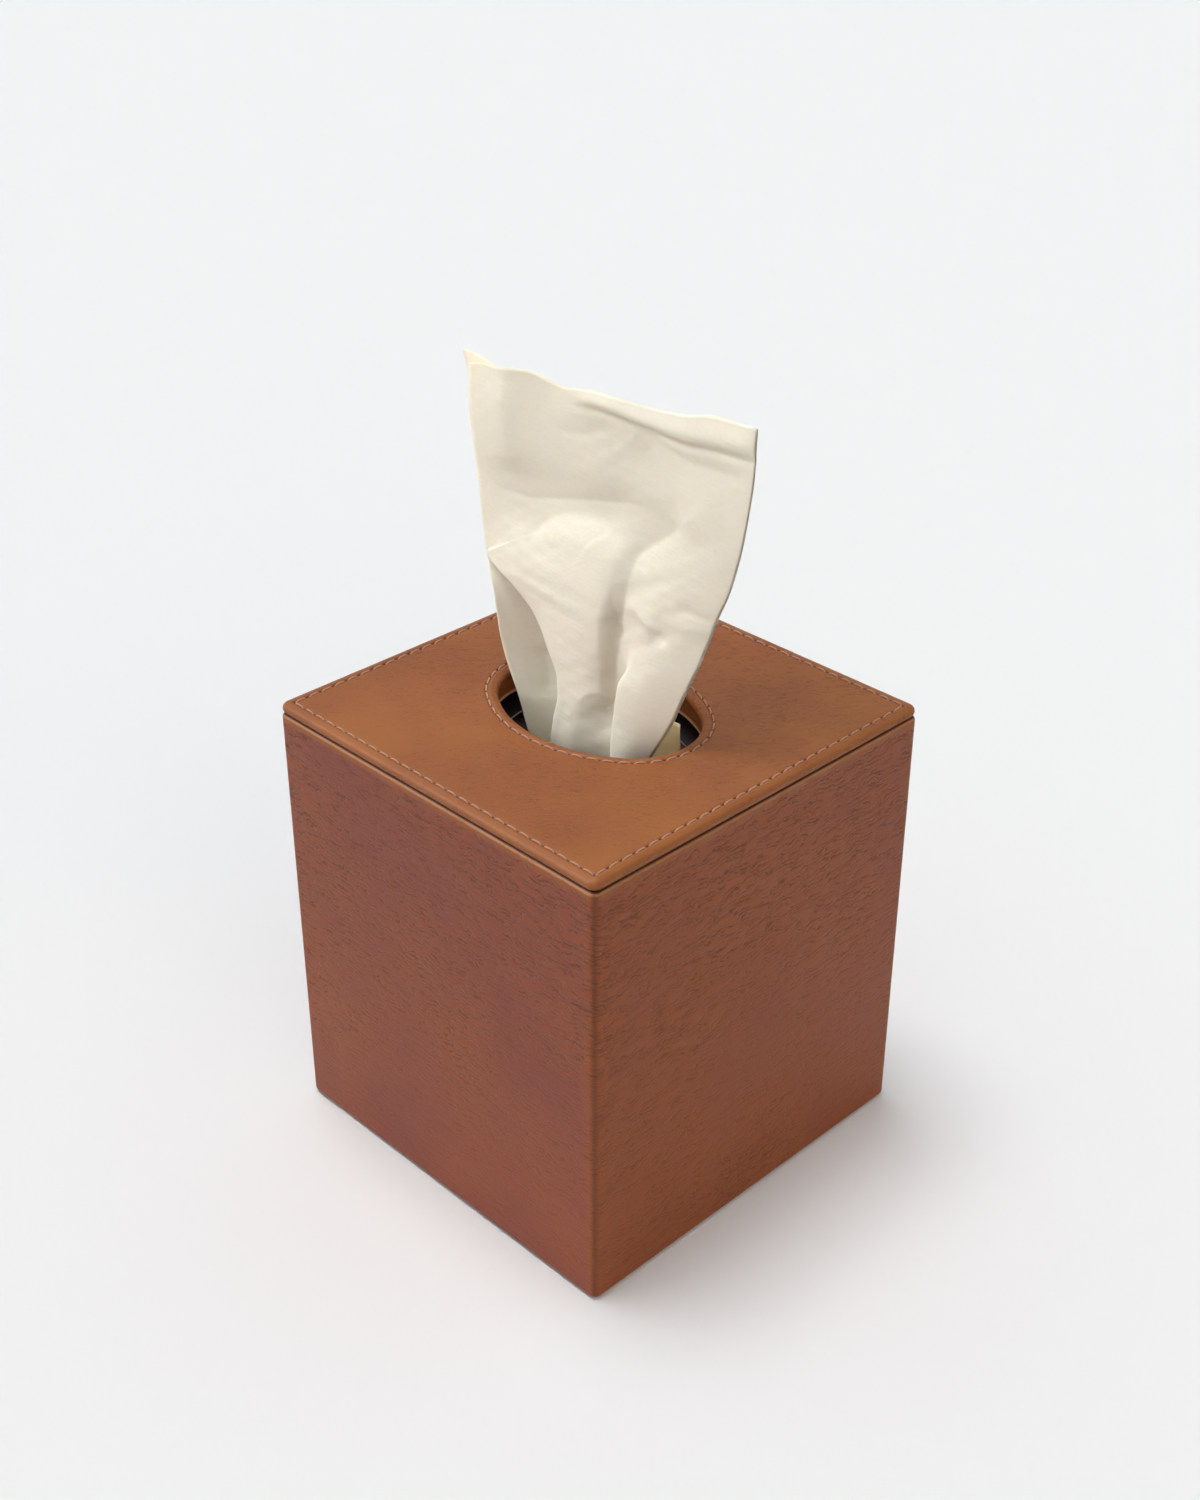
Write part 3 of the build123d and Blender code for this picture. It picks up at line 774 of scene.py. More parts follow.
def stitch_tree():
    """Geometry nodes that lay a two-ply stitch at every point of a line."""
    tree, add, given = geometry_tree(
        "two_ply_stitches", Geometry=["Line"],
        Float=["Stitch Length", "Ply Radius", "Twist Radius", "Arch", "Sink", "Wander"],
        Int=["Seed"], Material=["Thread"])
    plies = []
    for start in (0.0, math.pi):
        helix = add("GeometryNodeCurveSpiral", {
            "Resolution": 7, "Rotations": 2.5, "Start Radius": given["Twist Radius"],
            "End Radius": given["Twist Radius"], "Height": given["Stitch Length"]})
        plies.append(
            add("GeometryNodeTransform", {"Geometry": helix, "Rotation": (0, 0, start)}))
    both = add("GeometryNodeJoinGeometry", {"Geometry": plies})
    laid = add("GeometryNodeTransform", {"Geometry": both, "Rotation": (0, math.pi / 2, 0)})
    half = add("ShaderNodeMath", {0: given["Stitch Length"], 1: -0.5}, operation="MULTIPLY")
    back = add("ShaderNodeCombineXYZ", {"X": half})
    centred = add("GeometryNodeTransform", {"Geometry": laid, "Translation": back})

    # The stitch arches between its two needle holes, and its ends dive into them.
    place = add("GeometryNodeInputPosition")
    along = add("ShaderNodeSeparateXYZ", {"Vector": place}).outputs["X"]
    share = add("ShaderNodeMath", {0: along, 1: half}, operation="DIVIDE")
    fourth = add("ShaderNodeMath", {0: share, 1: 4.0}, operation="POWER")
    even = add("ShaderNodeMath", {0: fourth}, operation="ABSOLUTE")
    dive = add("ShaderNodeMath", {0: even, 1: given["Sink"]}, operation="MULTIPLY")
    rise = add("ShaderNodeMath", {0: given["Arch"], 1: dive}, operation="SUBTRACT")
    lift = add("ShaderNodeCombineXYZ", {"Z": rise})
    arched = add("GeometryNodeSetPosition", {"Geometry": centred, "Offset": lift})
    ring = add(
        "GeometryNodeCurvePrimitiveCircle", {"Resolution": 6, "Radius": given["Ply Radius"]})
    tube = add("GeometryNodeCurveToMesh", {
        "Curve": arched, "Profile Curve": ring.outputs["Curve"], "Fill Caps": True})

    # One stitch at each point, turned along the line, each a little off it.
    tangent = add("GeometryNodeInputTangent")
    heading = add(
        "FunctionNodeAlignRotationToVector", {"Vector": tangent}, axis="X", pivot_axis="Z")
    low = add("ShaderNodeMath", {0: given["Wander"], 1: -1.0}, operation="MULTIPLY")
    sway = add(
        "FunctionNodeRandomValue", {"Min": low, "Max": given["Wander"], "Seed": given["Seed"]},
        data_type="FLOAT")
    wobble = add("ShaderNodeCombineXYZ", {"Z": sway})
    turned = add(
        "FunctionNodeRotateRotation", {"Rotation": heading, "Rotate By": wobble},
        rotation_space="LOCAL")
    placed = add("GeometryNodeInstanceOnPoints", {
        "Points": given["Line"], "Instance": tube, "Rotation": turned})
    real = add("GeometryNodeRealizeInstances", {"Geometry": placed})
    threaded = add("GeometryNodeSetMaterial", {"Geometry": real, "Material": given["Thread"]})
    add("NodeGroupOutput", {"Geometry": threaded})
    return tree


class TISSUE_OT_stitches(bpy.types.Operator):
    """Sews the row along the lid's edge and the row round its hole"""

    bl_idname = "tissue_box.stitches"
    bl_label = "Stitches"

    def execute(self, context):
        stitches = context.scene.tissue_stitches
        count, side = edge_holes(stitches)
        pitch, half = side / count, side / 2
        height = LID_TOP - BETWEEN_HOLES * stitches.groove_depth + stitches.thread_radius
        start = [Vector((-half + (i + 0.5) * pitch, -half, height)) for i in range(count)]
        turns = [Matrix.Rotation(turn * math.pi / 2, 3, "Z") for turn in range(4)]
        sides = [[turn @ point for point in start] for turn in turns]
        _, length = oval_loop(stitches.hole_inset, 8)
        oval_holes = round(length / stitches.hole_pitch)
        points, _ = oval_loop(stitches.hole_inset, 2 * oval_holes)
        ring = [(x, y, height) for x, y in points[1::2]]
        tree = stitch_tree()
        for name, lines, closed, step in (
            ("edge_stitches", sides, False, pitch),
            ("hole_stitches", [ring], True, length / oval_holes),
        ):
            curve = bpy.data.curves.new(name + "_line", "CURVE")
            curve.dimensions = "3D"
            for line in lines:
                spline = curve.splines.new("POLY")
                spline.points.add(len(line) - 1)
                spline.use_cyclic_u = closed
                for target, point in zip(spline.points, line):
                    target.co = (*point, 1.0)
            piece = grown(name, in_scene(name + "_line", curve), tree, {
                "Stitch Length": step * stitches.stitch_share,
                "Ply Radius": stitches.thread_radius,
                "Twist Radius": 0.8 * stitches.thread_radius,
                "Arch": 0.1 * MM, "Sink": 0.75 * MM, "Wander": 0.035,
                "Seed": stitches.seed, "Thread": FINISHES["thread"]})
            own(piece, "lid", "lid_leather")
        return {"FINISHED"}


class TISSUE_OT_film(bpy.types.Operator):
    """Lays the slack film under the carton's opening, its slit spread by the tissues"""

    bl_idname = "tissue_box.film"
    bl_label = "Carton film"

    def execute(self, context):
        columns, steps = 160, 14
        angles = -np.linspace(0, 2 * math.pi, columns, endpoint=False)
        cosines, sines = np.cos(angles), np.sin(angles)
        slit_length, slit_width = 28 * MM, 12 * MM  # halves, as the tissues spread it
        slit = np.column_stack([slit_length * cosines, slit_width * sines])
        scale = 1 / np.maximum(np.abs(cosines) / film_high.x, np.abs(sines) / film_high.y)
        border = np.column_stack([scale * cosines, scale * sines])
        middle = (film_low.z + film_high.z) / 2
        rows = []
        for step in range(steps):
            share = step / (steps - 1)
            loose = (1 - share) ** 1.5
            waves = 1.1 * np.sin(5 * angles + 1.0) + 0.7 * np.sin(11 * angles + 3 * share)
            flat = slit * (1 - share) + border * share
            rows.append(np.column_stack([flat, middle + (loose * waves - 0.6 * loose) * MM]))
        faces = grid_faces(steps, columns, closed=True)
        piece = mesh_object("slack_film", np.vstack(rows), faces, FINISHES["film"])
        thicken(piece, 0.05 * MM)
        own(piece, "case", "film", "carton_film")
        return {"FINISHED"}


def stack_tree():
    """Geometry nodes that nest U-folded sheets one inside the next."""
    tree, add, given = geometry_tree(
        "nested_sheets", Geometry=["Fold"], Int=["Sheets", "Seed"],
        Float=["Foot", "Inner Width", "Outer Width", "Inner Foot", "Outer Foot", "Stray"],
        Material=["Paper"])
    points = add("GeometryNodePoints", {"Count": given["Sheets"]})
    index = add("GeometryNodeInputIndex")
    last = add("ShaderNodeMath", {0: given["Sheets"], 1: 1.0}, operation="SUBTRACT")
    share = add("ShaderNodeMath", {0: index, 1: last}, operation="DIVIDE")
    width, foot = (
        add("ShaderNodeMapRange", {
            "Value": share, "To Min": given["Inner " + part], "To Max": given["Outer " + part]})
        for part in ("Width", "Foot"))
    stray = add(
        "FunctionNodeRandomValue", {"Min": 0.0, "Max": given["Stray"], "Seed": given["Seed"]},
        data_type="FLOAT")
    top = add("ShaderNodeMath", {0: given["Foot"], 1: stray}, operation="SUBTRACT")
    tall = add("ShaderNodeMath", {0: top, 1: foot}, operation="SUBTRACT")
    scale = add("ShaderNodeCombineXYZ", {"X": 1.0, "Y": width, "Z": tall})
    place = add("ShaderNodeCombineXYZ", {"Z": foot})
    moved = add("GeometryNodeSetPosition", {"Geometry": points, "Position": place})
    nested = add("GeometryNodeInstanceOnPoints", {
        "Points": moved, "Instance": given["Fold"], "Scale": scale})
    real = add("GeometryNodeRealizeInstances", {"Geometry": nested})
    papered = add("GeometryNodeSetMaterial", {"Geometry": real, "Material": given["Paper"]})
    add("NodeGroupOutput", {"Geometry": papered})
    return tree


class TISSUE_OT_stack(bpy.types.Operator):
    """Nests the folded tissues in the carton, one inside the next"""

    bl_idname = "tissue_box.stack"
    bl_label = "Tissue stack"

    def execute(self, context):
        # One folded sheet of unit half width and height: a U with a round foot.
        foot_share, foot_steps, leg_steps, across_steps = 0.35, 26, 8, 9
        turn = np.linspace(math.pi, 2 * math.pi, foot_steps)
        leg = np.linspace(1.0, foot_share, leg_steps + 1)[:-1]
        upright = np.ones(leg_steps)
        profile_y = np.concatenate([-upright, np.cos(turn), upright])
        profile_z = np.concatenate([leg, foot_share * (1 + np.sin(turn)), leg[::-1]])
        across = np.linspace(stack_low.x, stack_high.x, across_steps)
        points = [(x, y, z) for x in across for y, z in zip(profile_y, profile_z)]
        faces = grid_faces(across_steps, len(profile_y))
        fold = mesh_object("fold_stock", points, faces, FINISHES["tissue"])
        slot_half, clear, sheet_thickness = 9.6 * MM, 0.3 * MM, 0.6 * MM
        leg_thickness = stack_high.y - slot_half
        piece = grown("folded_tissues", fold, stack_tree(), {
            "Sheets": context.scene.tissue_paper.sheets_shown, "Seed": 7,
            "Foot": stack_high.z, "Stray": 1.6 * MM, "Paper": FINISHES["tissue"],
            "Inner Width": slot_half, "Outer Width": stack_high.y - clear,
            "Inner Foot": stack_low.z + leg_thickness, "Outer Foot": stack_low.z + clear})
        thicken(piece, sheet_thickness)
        own(piece, "case", "tissue", "tissue_stack")
        return {"FINISHED"}


# ================================================================ the tissues
FOLD = 7 / 15  # the share across the net at which the middle pleat's fold edge lies


def even_row(left, right, stand_off, fold=FOLD):
    """A row of the net from one edge to the other, standing off that line by each amount."""
    shares = np.linspace(0, 1, len(stand_off))
    shares = np.interp(shares, (0, FOLD, 1), (0, fold, 1))
    x = left[0] + (right[0] - left[0]) * shares
    y = left[1] + (right[1] - left[1]) * shares + np.array(stand_off)
    return list(zip(x, y))


def pulled_net():
    """The standing tissue's net in mm: for each row the heights at its two edges and its points.

    Rows run from the tail in the carton, through the slit and the hole, to the top edge. A
    point with less y is nearer the front. The eighth point of a row follows the edge of the
    middle pleat, which lies over the left-hand flap: the flap leans back from the sheet's
    edge and goes in behind it. The fourteenth follows the edge of the right-hand pleat.
    """
    zigzag = [-6.2 if i % 2 else 0.2 for i in range(16)]
    tail = even_row((-19.5, 0), (15.5, 0), zigzag)
    slit = [
        (-23.8, -6.3), (-21.4, -4.4), (-18.0, -1.8), (-13.6, 0.6), (-8.5, 1.8), (-5.0, 0.4),
        (-6.6, -4.6), (-11.2, -7.8), (-7.4, -8.7), (-2.6, -9.2), (1.4, -7.7), (7.0, -5.9),
        (13.2, -4.4), (12.0, -6.8), (15.8, -7.0), (20.5, -4.6),
    ]
    hole = [
        (-26.8, -6.4), (-24.0, -4.4), (-20.2, -1.7), (-15.6, 0.9), (-10.0, 2.4), (-5.4, 0.8),
        (-5.8, -4.4), (-9.8, -8.3), (-5.8, -9.3), (-0.8, -9.7), (4.2, -8.6), (9.6, -7.0),
        (14.8, -5.4), (12.9, -7.6), (18.6, -8.0), (25.3, -4.8),
    ]
    above_hole = [
        (-31.5, -6.5), (-28.2, -4.3), (-24.0, -1.5), (-19.2, 1.4), (-13.6, 3.2), (-8.2, 2.2),
        (-6.4, -3.4), (-8.2, -8.0), (-3.4, -9.0), (2.2, -8.9), (7.0, -6.8), (11.2, -3.8),
        (15.8, -2.6), (13.6, -7.1), (21.5, -7.4), (31.0, -4.6),
    ]
    pleat_neck = [
        (-33.6, -6.6), (-30.6, -4.5), (-26.8, -1.9), (-22.4, 1.0), (-17.2, 3.6), (-12.2, 3.6),
        (-9.6, -1.4), (-10.1, -7.0), (-4.8, -8.2), (1.4, -8.3), (6.8, -6.6), (11.0, -3.5),
        (15.8, -2.6), (14.2, -6.9), (23.0, -6.8), (33.9, -4.0),
    ]
    opening = [
        (-34.8, -6.6), (-32.0, -4.6), (-28.6, -2.2), (-24.8, 0.5), (-20.6, 3.4), (-16.4, 4.4),
        (-13.4, -0.6), (-13.9, -6.3), (-7.3, -7.7), (-0.6, -7.7), (6.6, -6.4), (10.8, -3.6),
        (15.4, -3.0), (15.0, -6.4), (24.6, -5.9), (35.5, -3.3),
    ]
    low_fan = [
        (-35.8, -6.5), (-33.6, -4.9), (-31.0, -2.9), (-28.0, -0.5), (-24.6, 2.4), (-21.0, 4.2),
        (-18.0, 0.0), (-18.0, -5.3), (-10.3, -6.9), (-2.3, -7.1), (6.4, -6.3), (10.8, -3.8),
        (14.8, -3.5), (17.8, -5.0), (26.4, -5.0), (37.3, -2.6),
    ]
    fan = [
        (-36.9, -6.3), (-35.3, -4.9), (-33.5, -3.2), (-31.4, -1.2), (-29.0, 1.2), (-26.6, 2.9),
        (-24.6, -0.2), (-24.0, -4.4), (-14.3, -6.1), (-4.4, -6.7), (6.2, -6.0), (10.7, -3.4),
        (14.8, -3.2), (20.2, -4.1), (28.8, -4.0), (39.0, -1.8),
    ]
    flap_top = [
        (-39.0, -5.4), (-38.1, -4.3), (-37.1, -3.0), (-35.9, -1.4), (-34.6, 0.2), (-33.3, 0.9),
        (-32.0, -1.4), (-31.5, -4.2), (-19.8, -5.3), (-6.8, -6.1), (6.0, -5.9), (10.9, -3.3),
        (15.4, -2.9), (21.6, -3.5), (30.4, -3.2), (40.5, -1.0),
    ]
    fold_rise = [
        (-41.5, -3.8), (-41.0, -3.0), (-40.5, -2.2), (-39.9, -1.5), (-39.3, -1.2), (-38.7, -1.5),
        (-38.2, -2.6), (-37.8, -3.8), (-25.8, -4.9), (-10.8, -5.9), (5.2, -5.8), (10.9, -3.2),
        (15.8, -2.7), (22.4, -3.1), (31.2, -2.7), (41.2, -0.6),
    ]
    fold_end = [
        (-43.7, -2.2), (-43.5, -2.0), (-43.3, -1.9), (-43.1, -1.9), (-42.9, -2.0), (-42.7, -2.2),
        (-42.5, -2.5), (-42.3, -2.8), (-29.8, -4.2), (-13.6, -5.4), (4.8, -5.6), (11.1, -3.1),
        (16.2, -2.5), (23.2, -2.9), (32.2, -2.3), (41.9, -0.2),
    ]
    joined = [
        (-45.0, -1.5), (-44.0, -1.6), (-43.0, -1.7), (-42.0, -1.8), (-41.0, -1.9), (-40.0, -2.1),
        (-39.0, -2.4), (-38.0, -2.7), (-28.5, -3.7), (-14.0, -5.0), (3.6, -5.3), (10.4, -3.4),
        (16.6, -2.3), (24.0, -2.7), (33.2, -1.9), (43.2, 0.0),
    ]
    spread = [
        (-46.2, -1.0), (-43.9, -1.1), (-41.7, -1.2), (-39.4, -1.3), (-37.1, -1.5), (-34.9, -1.8),
        (-32.6, -2.1), (-30.3, -2.4), (-21.5, -3.3), (-10.5, -4.3), (2.5, -4.5), (9.8, -3.2),
        (17.0, -1.8), (25.0, -2.2), (34.4, -1.4), (44.9, 0.0),
    ]
    lobe_top = (
        -0.6, -0.5, -0.4, -0.4, -0.6, -1, -1.5, -2.2, -3, -3.1, -2.4, -0.9, -1.2, -1, -0.5, 0)
    hollow = (0, 0, 0.1, 0.2, 0.3, 0.4, 0.4, 0.4, 0.6, 0.9, 0.7, 0.4, 0.1, 0, 0, 0)
    chest = (0, -0.5, -0.8, -0.2, 0.2, 0.2, 0, 0, 0.2, 0.3, 0, -0.6, -0.8, -0.4, 0, 0)
    shoulder = (0.3, -0.4, -0.9, 0.1, 0.2, -0.1, -0.2, 0.2, 0.4, 0.3, 0.1, 0.1, 0.2, 0.1, 0, 0)
    brow = (0.8, 0.5, -0.6, -0.4, 0.3, 0.8, 0.5, 0.0, -0.3, 0.0, 0.2, 0.0, -0.2, 0.0, 0.2, 0)
    return (
        (52.5, 52.5, tail),
        (110.0, 110.0, tail),
        (128.7, 128.7, slit),
        (137.0, 137.0, hole),
        (147.0, 147.0, above_hole),
        (153.0, 153.0, pleat_neck),
        (158.0, 158.0, opening),
        (163.0, 163.0, low_fan),
        (168.0, 168.0, fan),
        (172.0, 172.2, flap_top),
        (174.4, 174.9, fold_rise),
        (176.2, 177.1, fold_end),
        (179.5, 181.0, joined),
        (183.5, 186.0, spread),
        (190.5, 194.0, even_row((-47.6, 0), (48.3, 0), lobe_top, 0.32)),
        (200.0, 205.0, even_row((-49.4, 0), (51.6, 0), hollow, 0.38)),
        (211.0, 217.5, even_row((-51.0, 0), (54.0, 0), chest)),
        (221.5, 229.5, even_row((-52.4, 0), (55.6, 0), shoulder)),
        (230.6, 241.4, even_row((-52.6, 0), (56.0, 0), brow)),
    )


def sheet_surface(net, column_shares, row_shares):
    """Points of a smooth surface through a net, with shares across and up it from 0 to 1."""
    across = np.array([row for _, _, row in net], float)
    ends = np.array([(left, right) for left, right, _ in net])
    heights = ends.mean(axis=1)
    knots = np.linspace(0, 1, across.shape[1])
    spread = smooth_curve(knots, across.transpose(1, 0, 2), column_shares)
    levels = heights[0] + (heights[-1] - heights[0]) * row_shares
    body = smooth_curve(heights, spread.transpose(1, 0, 2), levels)
    edge = smooth_curve(heights, ends, levels)
    z = edge[:, :1] * (1 - column_shares) + edge[:, 1:] * column_shares
    return np.dstack([body, z])


def crease(x, z, path, left, right, amount):
    """A crease along a path, as a push along y that dies away left and right of its travel.

    It is sharp at the path, as creased paper is, and fades towards the path's two ends.
    """
    path = np.array(path, float)
    nearest = np.full(x.shape, np.inf)
    push = np.zeros(x.shape)
    lengths = np.linalg.norm(np.diff(path, axis=0), axis=1)
    before = np.concatenate([[0], np.cumsum(lengths)])
    for start, run, length, done in zip(path, np.diff(path, axis=0), lengths, before):
        along = ((x - start[0]) * run[0] + (z - start[1]) * run[1]) / length**2
        held = np.clip(along, 0, 1)
        away_x, away_z = x - start[0] - held * run[0], z - start[1] - held * run[1]
        away = np.hypot(away_x, away_z)
        on_left = run[0] * away_z - run[1] * away_x > 0
        reach = np.where(on_left, left, right)
        share = (done + held * length) / before[-1]
        fade = np.clip(np.minimum(share, 1 - share) * 5, 0, 1) ** 0.8
        here = amount * (0.12 + 0.88 * fade) * np.exp(-away / reach)
        push = np.where(away < nearest, here, push)
        nearest = np.minimum(nearest, away)
    return push


# Creases of the photographed tissue in mm, on the plane that the sheet stands in: the path in
# x and z, how far each reaches to the left and to the right of its travel, and its depth (+
# away from the viewer).
CREASES = (
    (((-25.2, 184), (-23.4, 191), (-19, 195), (-13, 198), (-5, 200), (2, 200.4), (5.4, 198),
      (6.6, 192)), 9.0, 5.5, 1.45),
    (((13.7, 229), (19.3, 223.6), (26, 217), (32, 209.6)), 5.0, 8.0, 1.7),
    (((32, 209.6), (23.4, 202), (16, 196), (11, 191.8)), 6.0, 7.0, 1.6),
    (((8.1, 198), (9.3, 190), (8.1, 181), (6.6, 173.6), (6.4, 164), (7.0, 156)), 4.6, 6.0, -0.7),
    (((16, 197), (14, 192), (12.2, 180), (11.4, 171), (10.8, 162), (10.6, 154)), 4.0, 3.0, 1.0),
    (((8.5, 176), (10.8, 172.7), (13.2, 170)), 2.2, 2.2, 0.8),
    (((14, 181.5), (20, 178.8), (25.5, 176.7)), 3.2, 2.6, -0.9),
    (((25.6, 176.4), (29, 174.3)), 2.0, 2.0, 0.7),
    (((31, 184), (35.6, 185.4), (40.4, 184.8), (46, 186)), 1.3, 1.3, 0.5),
    (((33, 180), (38, 181.4), (44, 181)), 1.5, 1.5, -0.4),
    (((-45, 199.4), (-40.2, 197.4), (-28, 198.1), (-7, 203.8), (17, 209.4)), 1.0, 1.0, 0.4),
    (((-37, 229), (-35.5, 217), (-33, 204)), 9.0, 7.0, -1.2),
    (((-24, 226), (-14, 222), (-3, 224), (8, 229)), 5.0, 5.0, 0.6),
    (((4, 230.5), (18, 229.5), (32, 226.2), (53, 227.6)), 3.0, 6.5, 1.1),
    (((34, 214), (42, 208), (47, 197)), 5.0, 6.0, -0.7),
    (((20, 170), (24, 164), (23, 154)), 4.0, 4.0, -0.5),
    (((-40, 190), (-30, 186), (-24, 178)), 5.0, 6.0, -0.5),
    (((-25, 152.5), (-21.5, 146), (-20, 138)), 4.0, 3.0, 0.9),
    (((0, 146), (3, 150.5), (7.5, 152.5), (10, 149)), 1.4, 3.5, -0.5),
    (((-33, 134), (-28.5, 131), (-25, 133)), 1.6, 1.6, 0.9),
)


def fine_crumple(x, z, push=0.16):
    """Shallow random-looking waves a few millimetres long, the same at every run, in mm."""
    waves = (
        (0.9, 0.35, 0.4), (0.5, -0.8, 2.1), (-0.7, 1.1, 4.0), (1.3, 0.9, 1.2), (0.2, 1.6, 5.1),
    )
    total = sum(np.sin(a * x + b * z + c + 0.7 * np.sin(0.31 * x - 0.23 * z)) for a, b, c in waves)
    patch = 0.5 + 0.5 * np.sin(0.11 * x + 1.0) * np.sin(0.09 * z + 0.5)
    return push * patch * total / len(waves)


class TISSUE_OT_pulled(bpy.types.Operator):
    """Folds the standing tissue: two leaves joined at their right-hand fold"""

    bl_idname = "tissue_box.pulled"
    bl_label = "Standing tissue"

    def execute(self, context):
        paper = context.scene.tissue_paper
        columns, rows = 110, 186
        leaf_share = np.interp(np.linspace(0, 1, columns), (0, 0.31, 1), (0, FOLD, 1))
        # Few rows in the carton, where nobody looks, and many in and above the hole.
        row_share = np.interp(np.linspace(0, 1, rows), (0, 0.08, 1), (0, 0.38, 1))
        middle = sheet_surface(pulled_net(), leaf_share, row_share)
        x, y, z = (middle[..., i] for i in range(3))
        push = fine_crumple(x, z)
        for path, left, right, amount in CREASES:
            push = push + crease(x, z, path, left, right, amount)
        from_fold = (1 - leaf_share)[None, :] * paper.leaf_width / MM
        calm_fold = np.clip(from_fold / 5, 0, 1) ** 0.7
        y = y + push * np.clip((z - 127) / 8, 0.15, 1) * calm_fold

        # The edge that was folded over in the carton: a lip along the top, open at its foot.
        below_top = z[-1][None, :] - z
        lip = 4.2 + 3.8 * np.clip(x / 32, 0, 1)
        on_lip = np.clip((x + 10) / 12, 0, 1) * (0.1 + 0.9 * calm_fold)
        roll = np.sin(math.pi * np.clip(below_top / lip, 0, 1) ** 1.5)
        recess = np.exp(-(((below_top - lip - 0.5) / 1.0) ** 2))
        y = y + on_lip * (-1.3 * roll + 0.6 * recess)
        # The top edge waves: it dips where the lip starts, and rises again at the right.
        rise = smooth_curve(
            (-60, -46, -40, -32, -26, -20, -14, -8, 0, 15, 30, 42, 47, 60),
            (-1.0, 1.8, 1.9, 2.6, 2.7, 1.1, 0.1, 0.7, 1.1, 0.3, 0.4, 2.0, 1.7, 1.0), x[-1])
        z = z + rise[None, :] * np.exp(-below_top / 9)

        # Two leaves: the front one, the fold at +X, and the back one with its loose corner.
        bulge = paper.leaf_gap / MM * (1 + 0.8 * np.sin(0.09 * z + 0.05 * x) ** 2)
        half_gap = 0.5 * bulge * np.sqrt(np.clip(from_fold / 8, 0, 1))
        tangent_x, tangent_y = np.gradient(x, axis=1), np.gradient(y, axis=1)
        length = np.hypot(tangent_x, tangent_y)
        off_x, off_y = -tangent_y / length * half_gap, tangent_x / length * half_gap
        front = np.dstack([x - off_x, y - off_y, z])
        back = np.dstack([x + off_x, y + off_y, z])
        corner = np.clip((-40 - x) / 12, 0, 1) ** 1.5 * np.clip((z - 219) / 12, 0, 1) ** 1.5
        back += corner[..., None] * (-7.0, 2.2, 1.6)
        loose = np.clip((-36 - x) / 16, 0, 1) * np.clip((z - 150) / 60, 0, 1)
        back[..., 1] += 1.4 * loose
        sheet = np.concatenate([front, back[:, -2::-1]], axis=1)
        # The crepe's own coordinates: length along each row of the paper, and height up it.
        steps = np.linalg.norm(np.diff(sheet, axis=1), axis=2)
        along_row = np.hstack([np.zeros((rows, 1)), np.cumsum(steps, axis=1)])
        uv = np.dstack([along_row, sheet[..., 2]]).reshape(-1, 2) * MM
        piece = mesh_object(
            "standing_tissue", sheet.reshape(-1, 3) * MM, grid_faces(rows, sheet.shape[1]),
            FINISHES["tissue"], uv)
        thicken(piece, paper.leaf_thickness)
        own(piece, "tissue", "tissue", "pulled_tissue")
        return {"FINISHED"}


class TISSUE_OT_next(bpy.types.Operator):
    """Folds the next tissue, whose square corner stands in the hole"""

    bl_idname = "tissue_box.next"
    bl_label = "Next tissue"

    def execute(self, context):
        back = NEXT_BACK / MM - 0.9
        pleats = [0.9 * math.sin(2.2 * i) for i in range(12)]
        # The first nine points of the head are pleated, and its corner is flat.
        calmer = [0.45 * p * (i < 9) for i, p in enumerate(pleats)]
        foot = even_row((-18.6, back), (18.6, back), pleats)
        neck = even_row((-18.4, back), (19.5, back), [0.7 * p for p in pleats])
        head = even_row((-17.0, back - 0.5), (25.6, 7.0), calmer)
        net = (
            (52.8, 52.8, foot), (112.0, 112.0, foot), (127.5, 127.5, neck), (135.0, 135.0, head),
            (139.5, 139.5, head), (143.6, 143.9, head),
        )
        steps, crepe_width, crepe_height = 70, 60 * MM, 91 * MM
        shares = np.linspace(0, 1, steps)
        sheet = sheet_surface(net, shares, shares)
        sheet[..., 1] += fine_crumple(sheet[..., 0], sheet[..., 2], 0.1)
        crepe = np.meshgrid(
            *(np.linspace(0, end, steps) for end in (crepe_width, crepe_height)))
        piece = mesh_object(
            "following_tissue", sheet.reshape(-1, 3) * MM, grid_faces(steps, steps),
            FINISHES["tissue"], np.dstack(crepe).reshape(-1, 2))
        thicken(piece, 1.6 * context.scene.tissue_paper.leaf_thickness)
        own(piece, "case", "tissue", "next_tissue")
        return {"FINISHED"}


def aimed(name, data, towards):
    """A camera or lamp that looks along a direction."""
    made = in_scene(name, data)
    made.rotation_euler = Vector(towards).to_track_quat("-Z", "Y").to_euler()
    return made


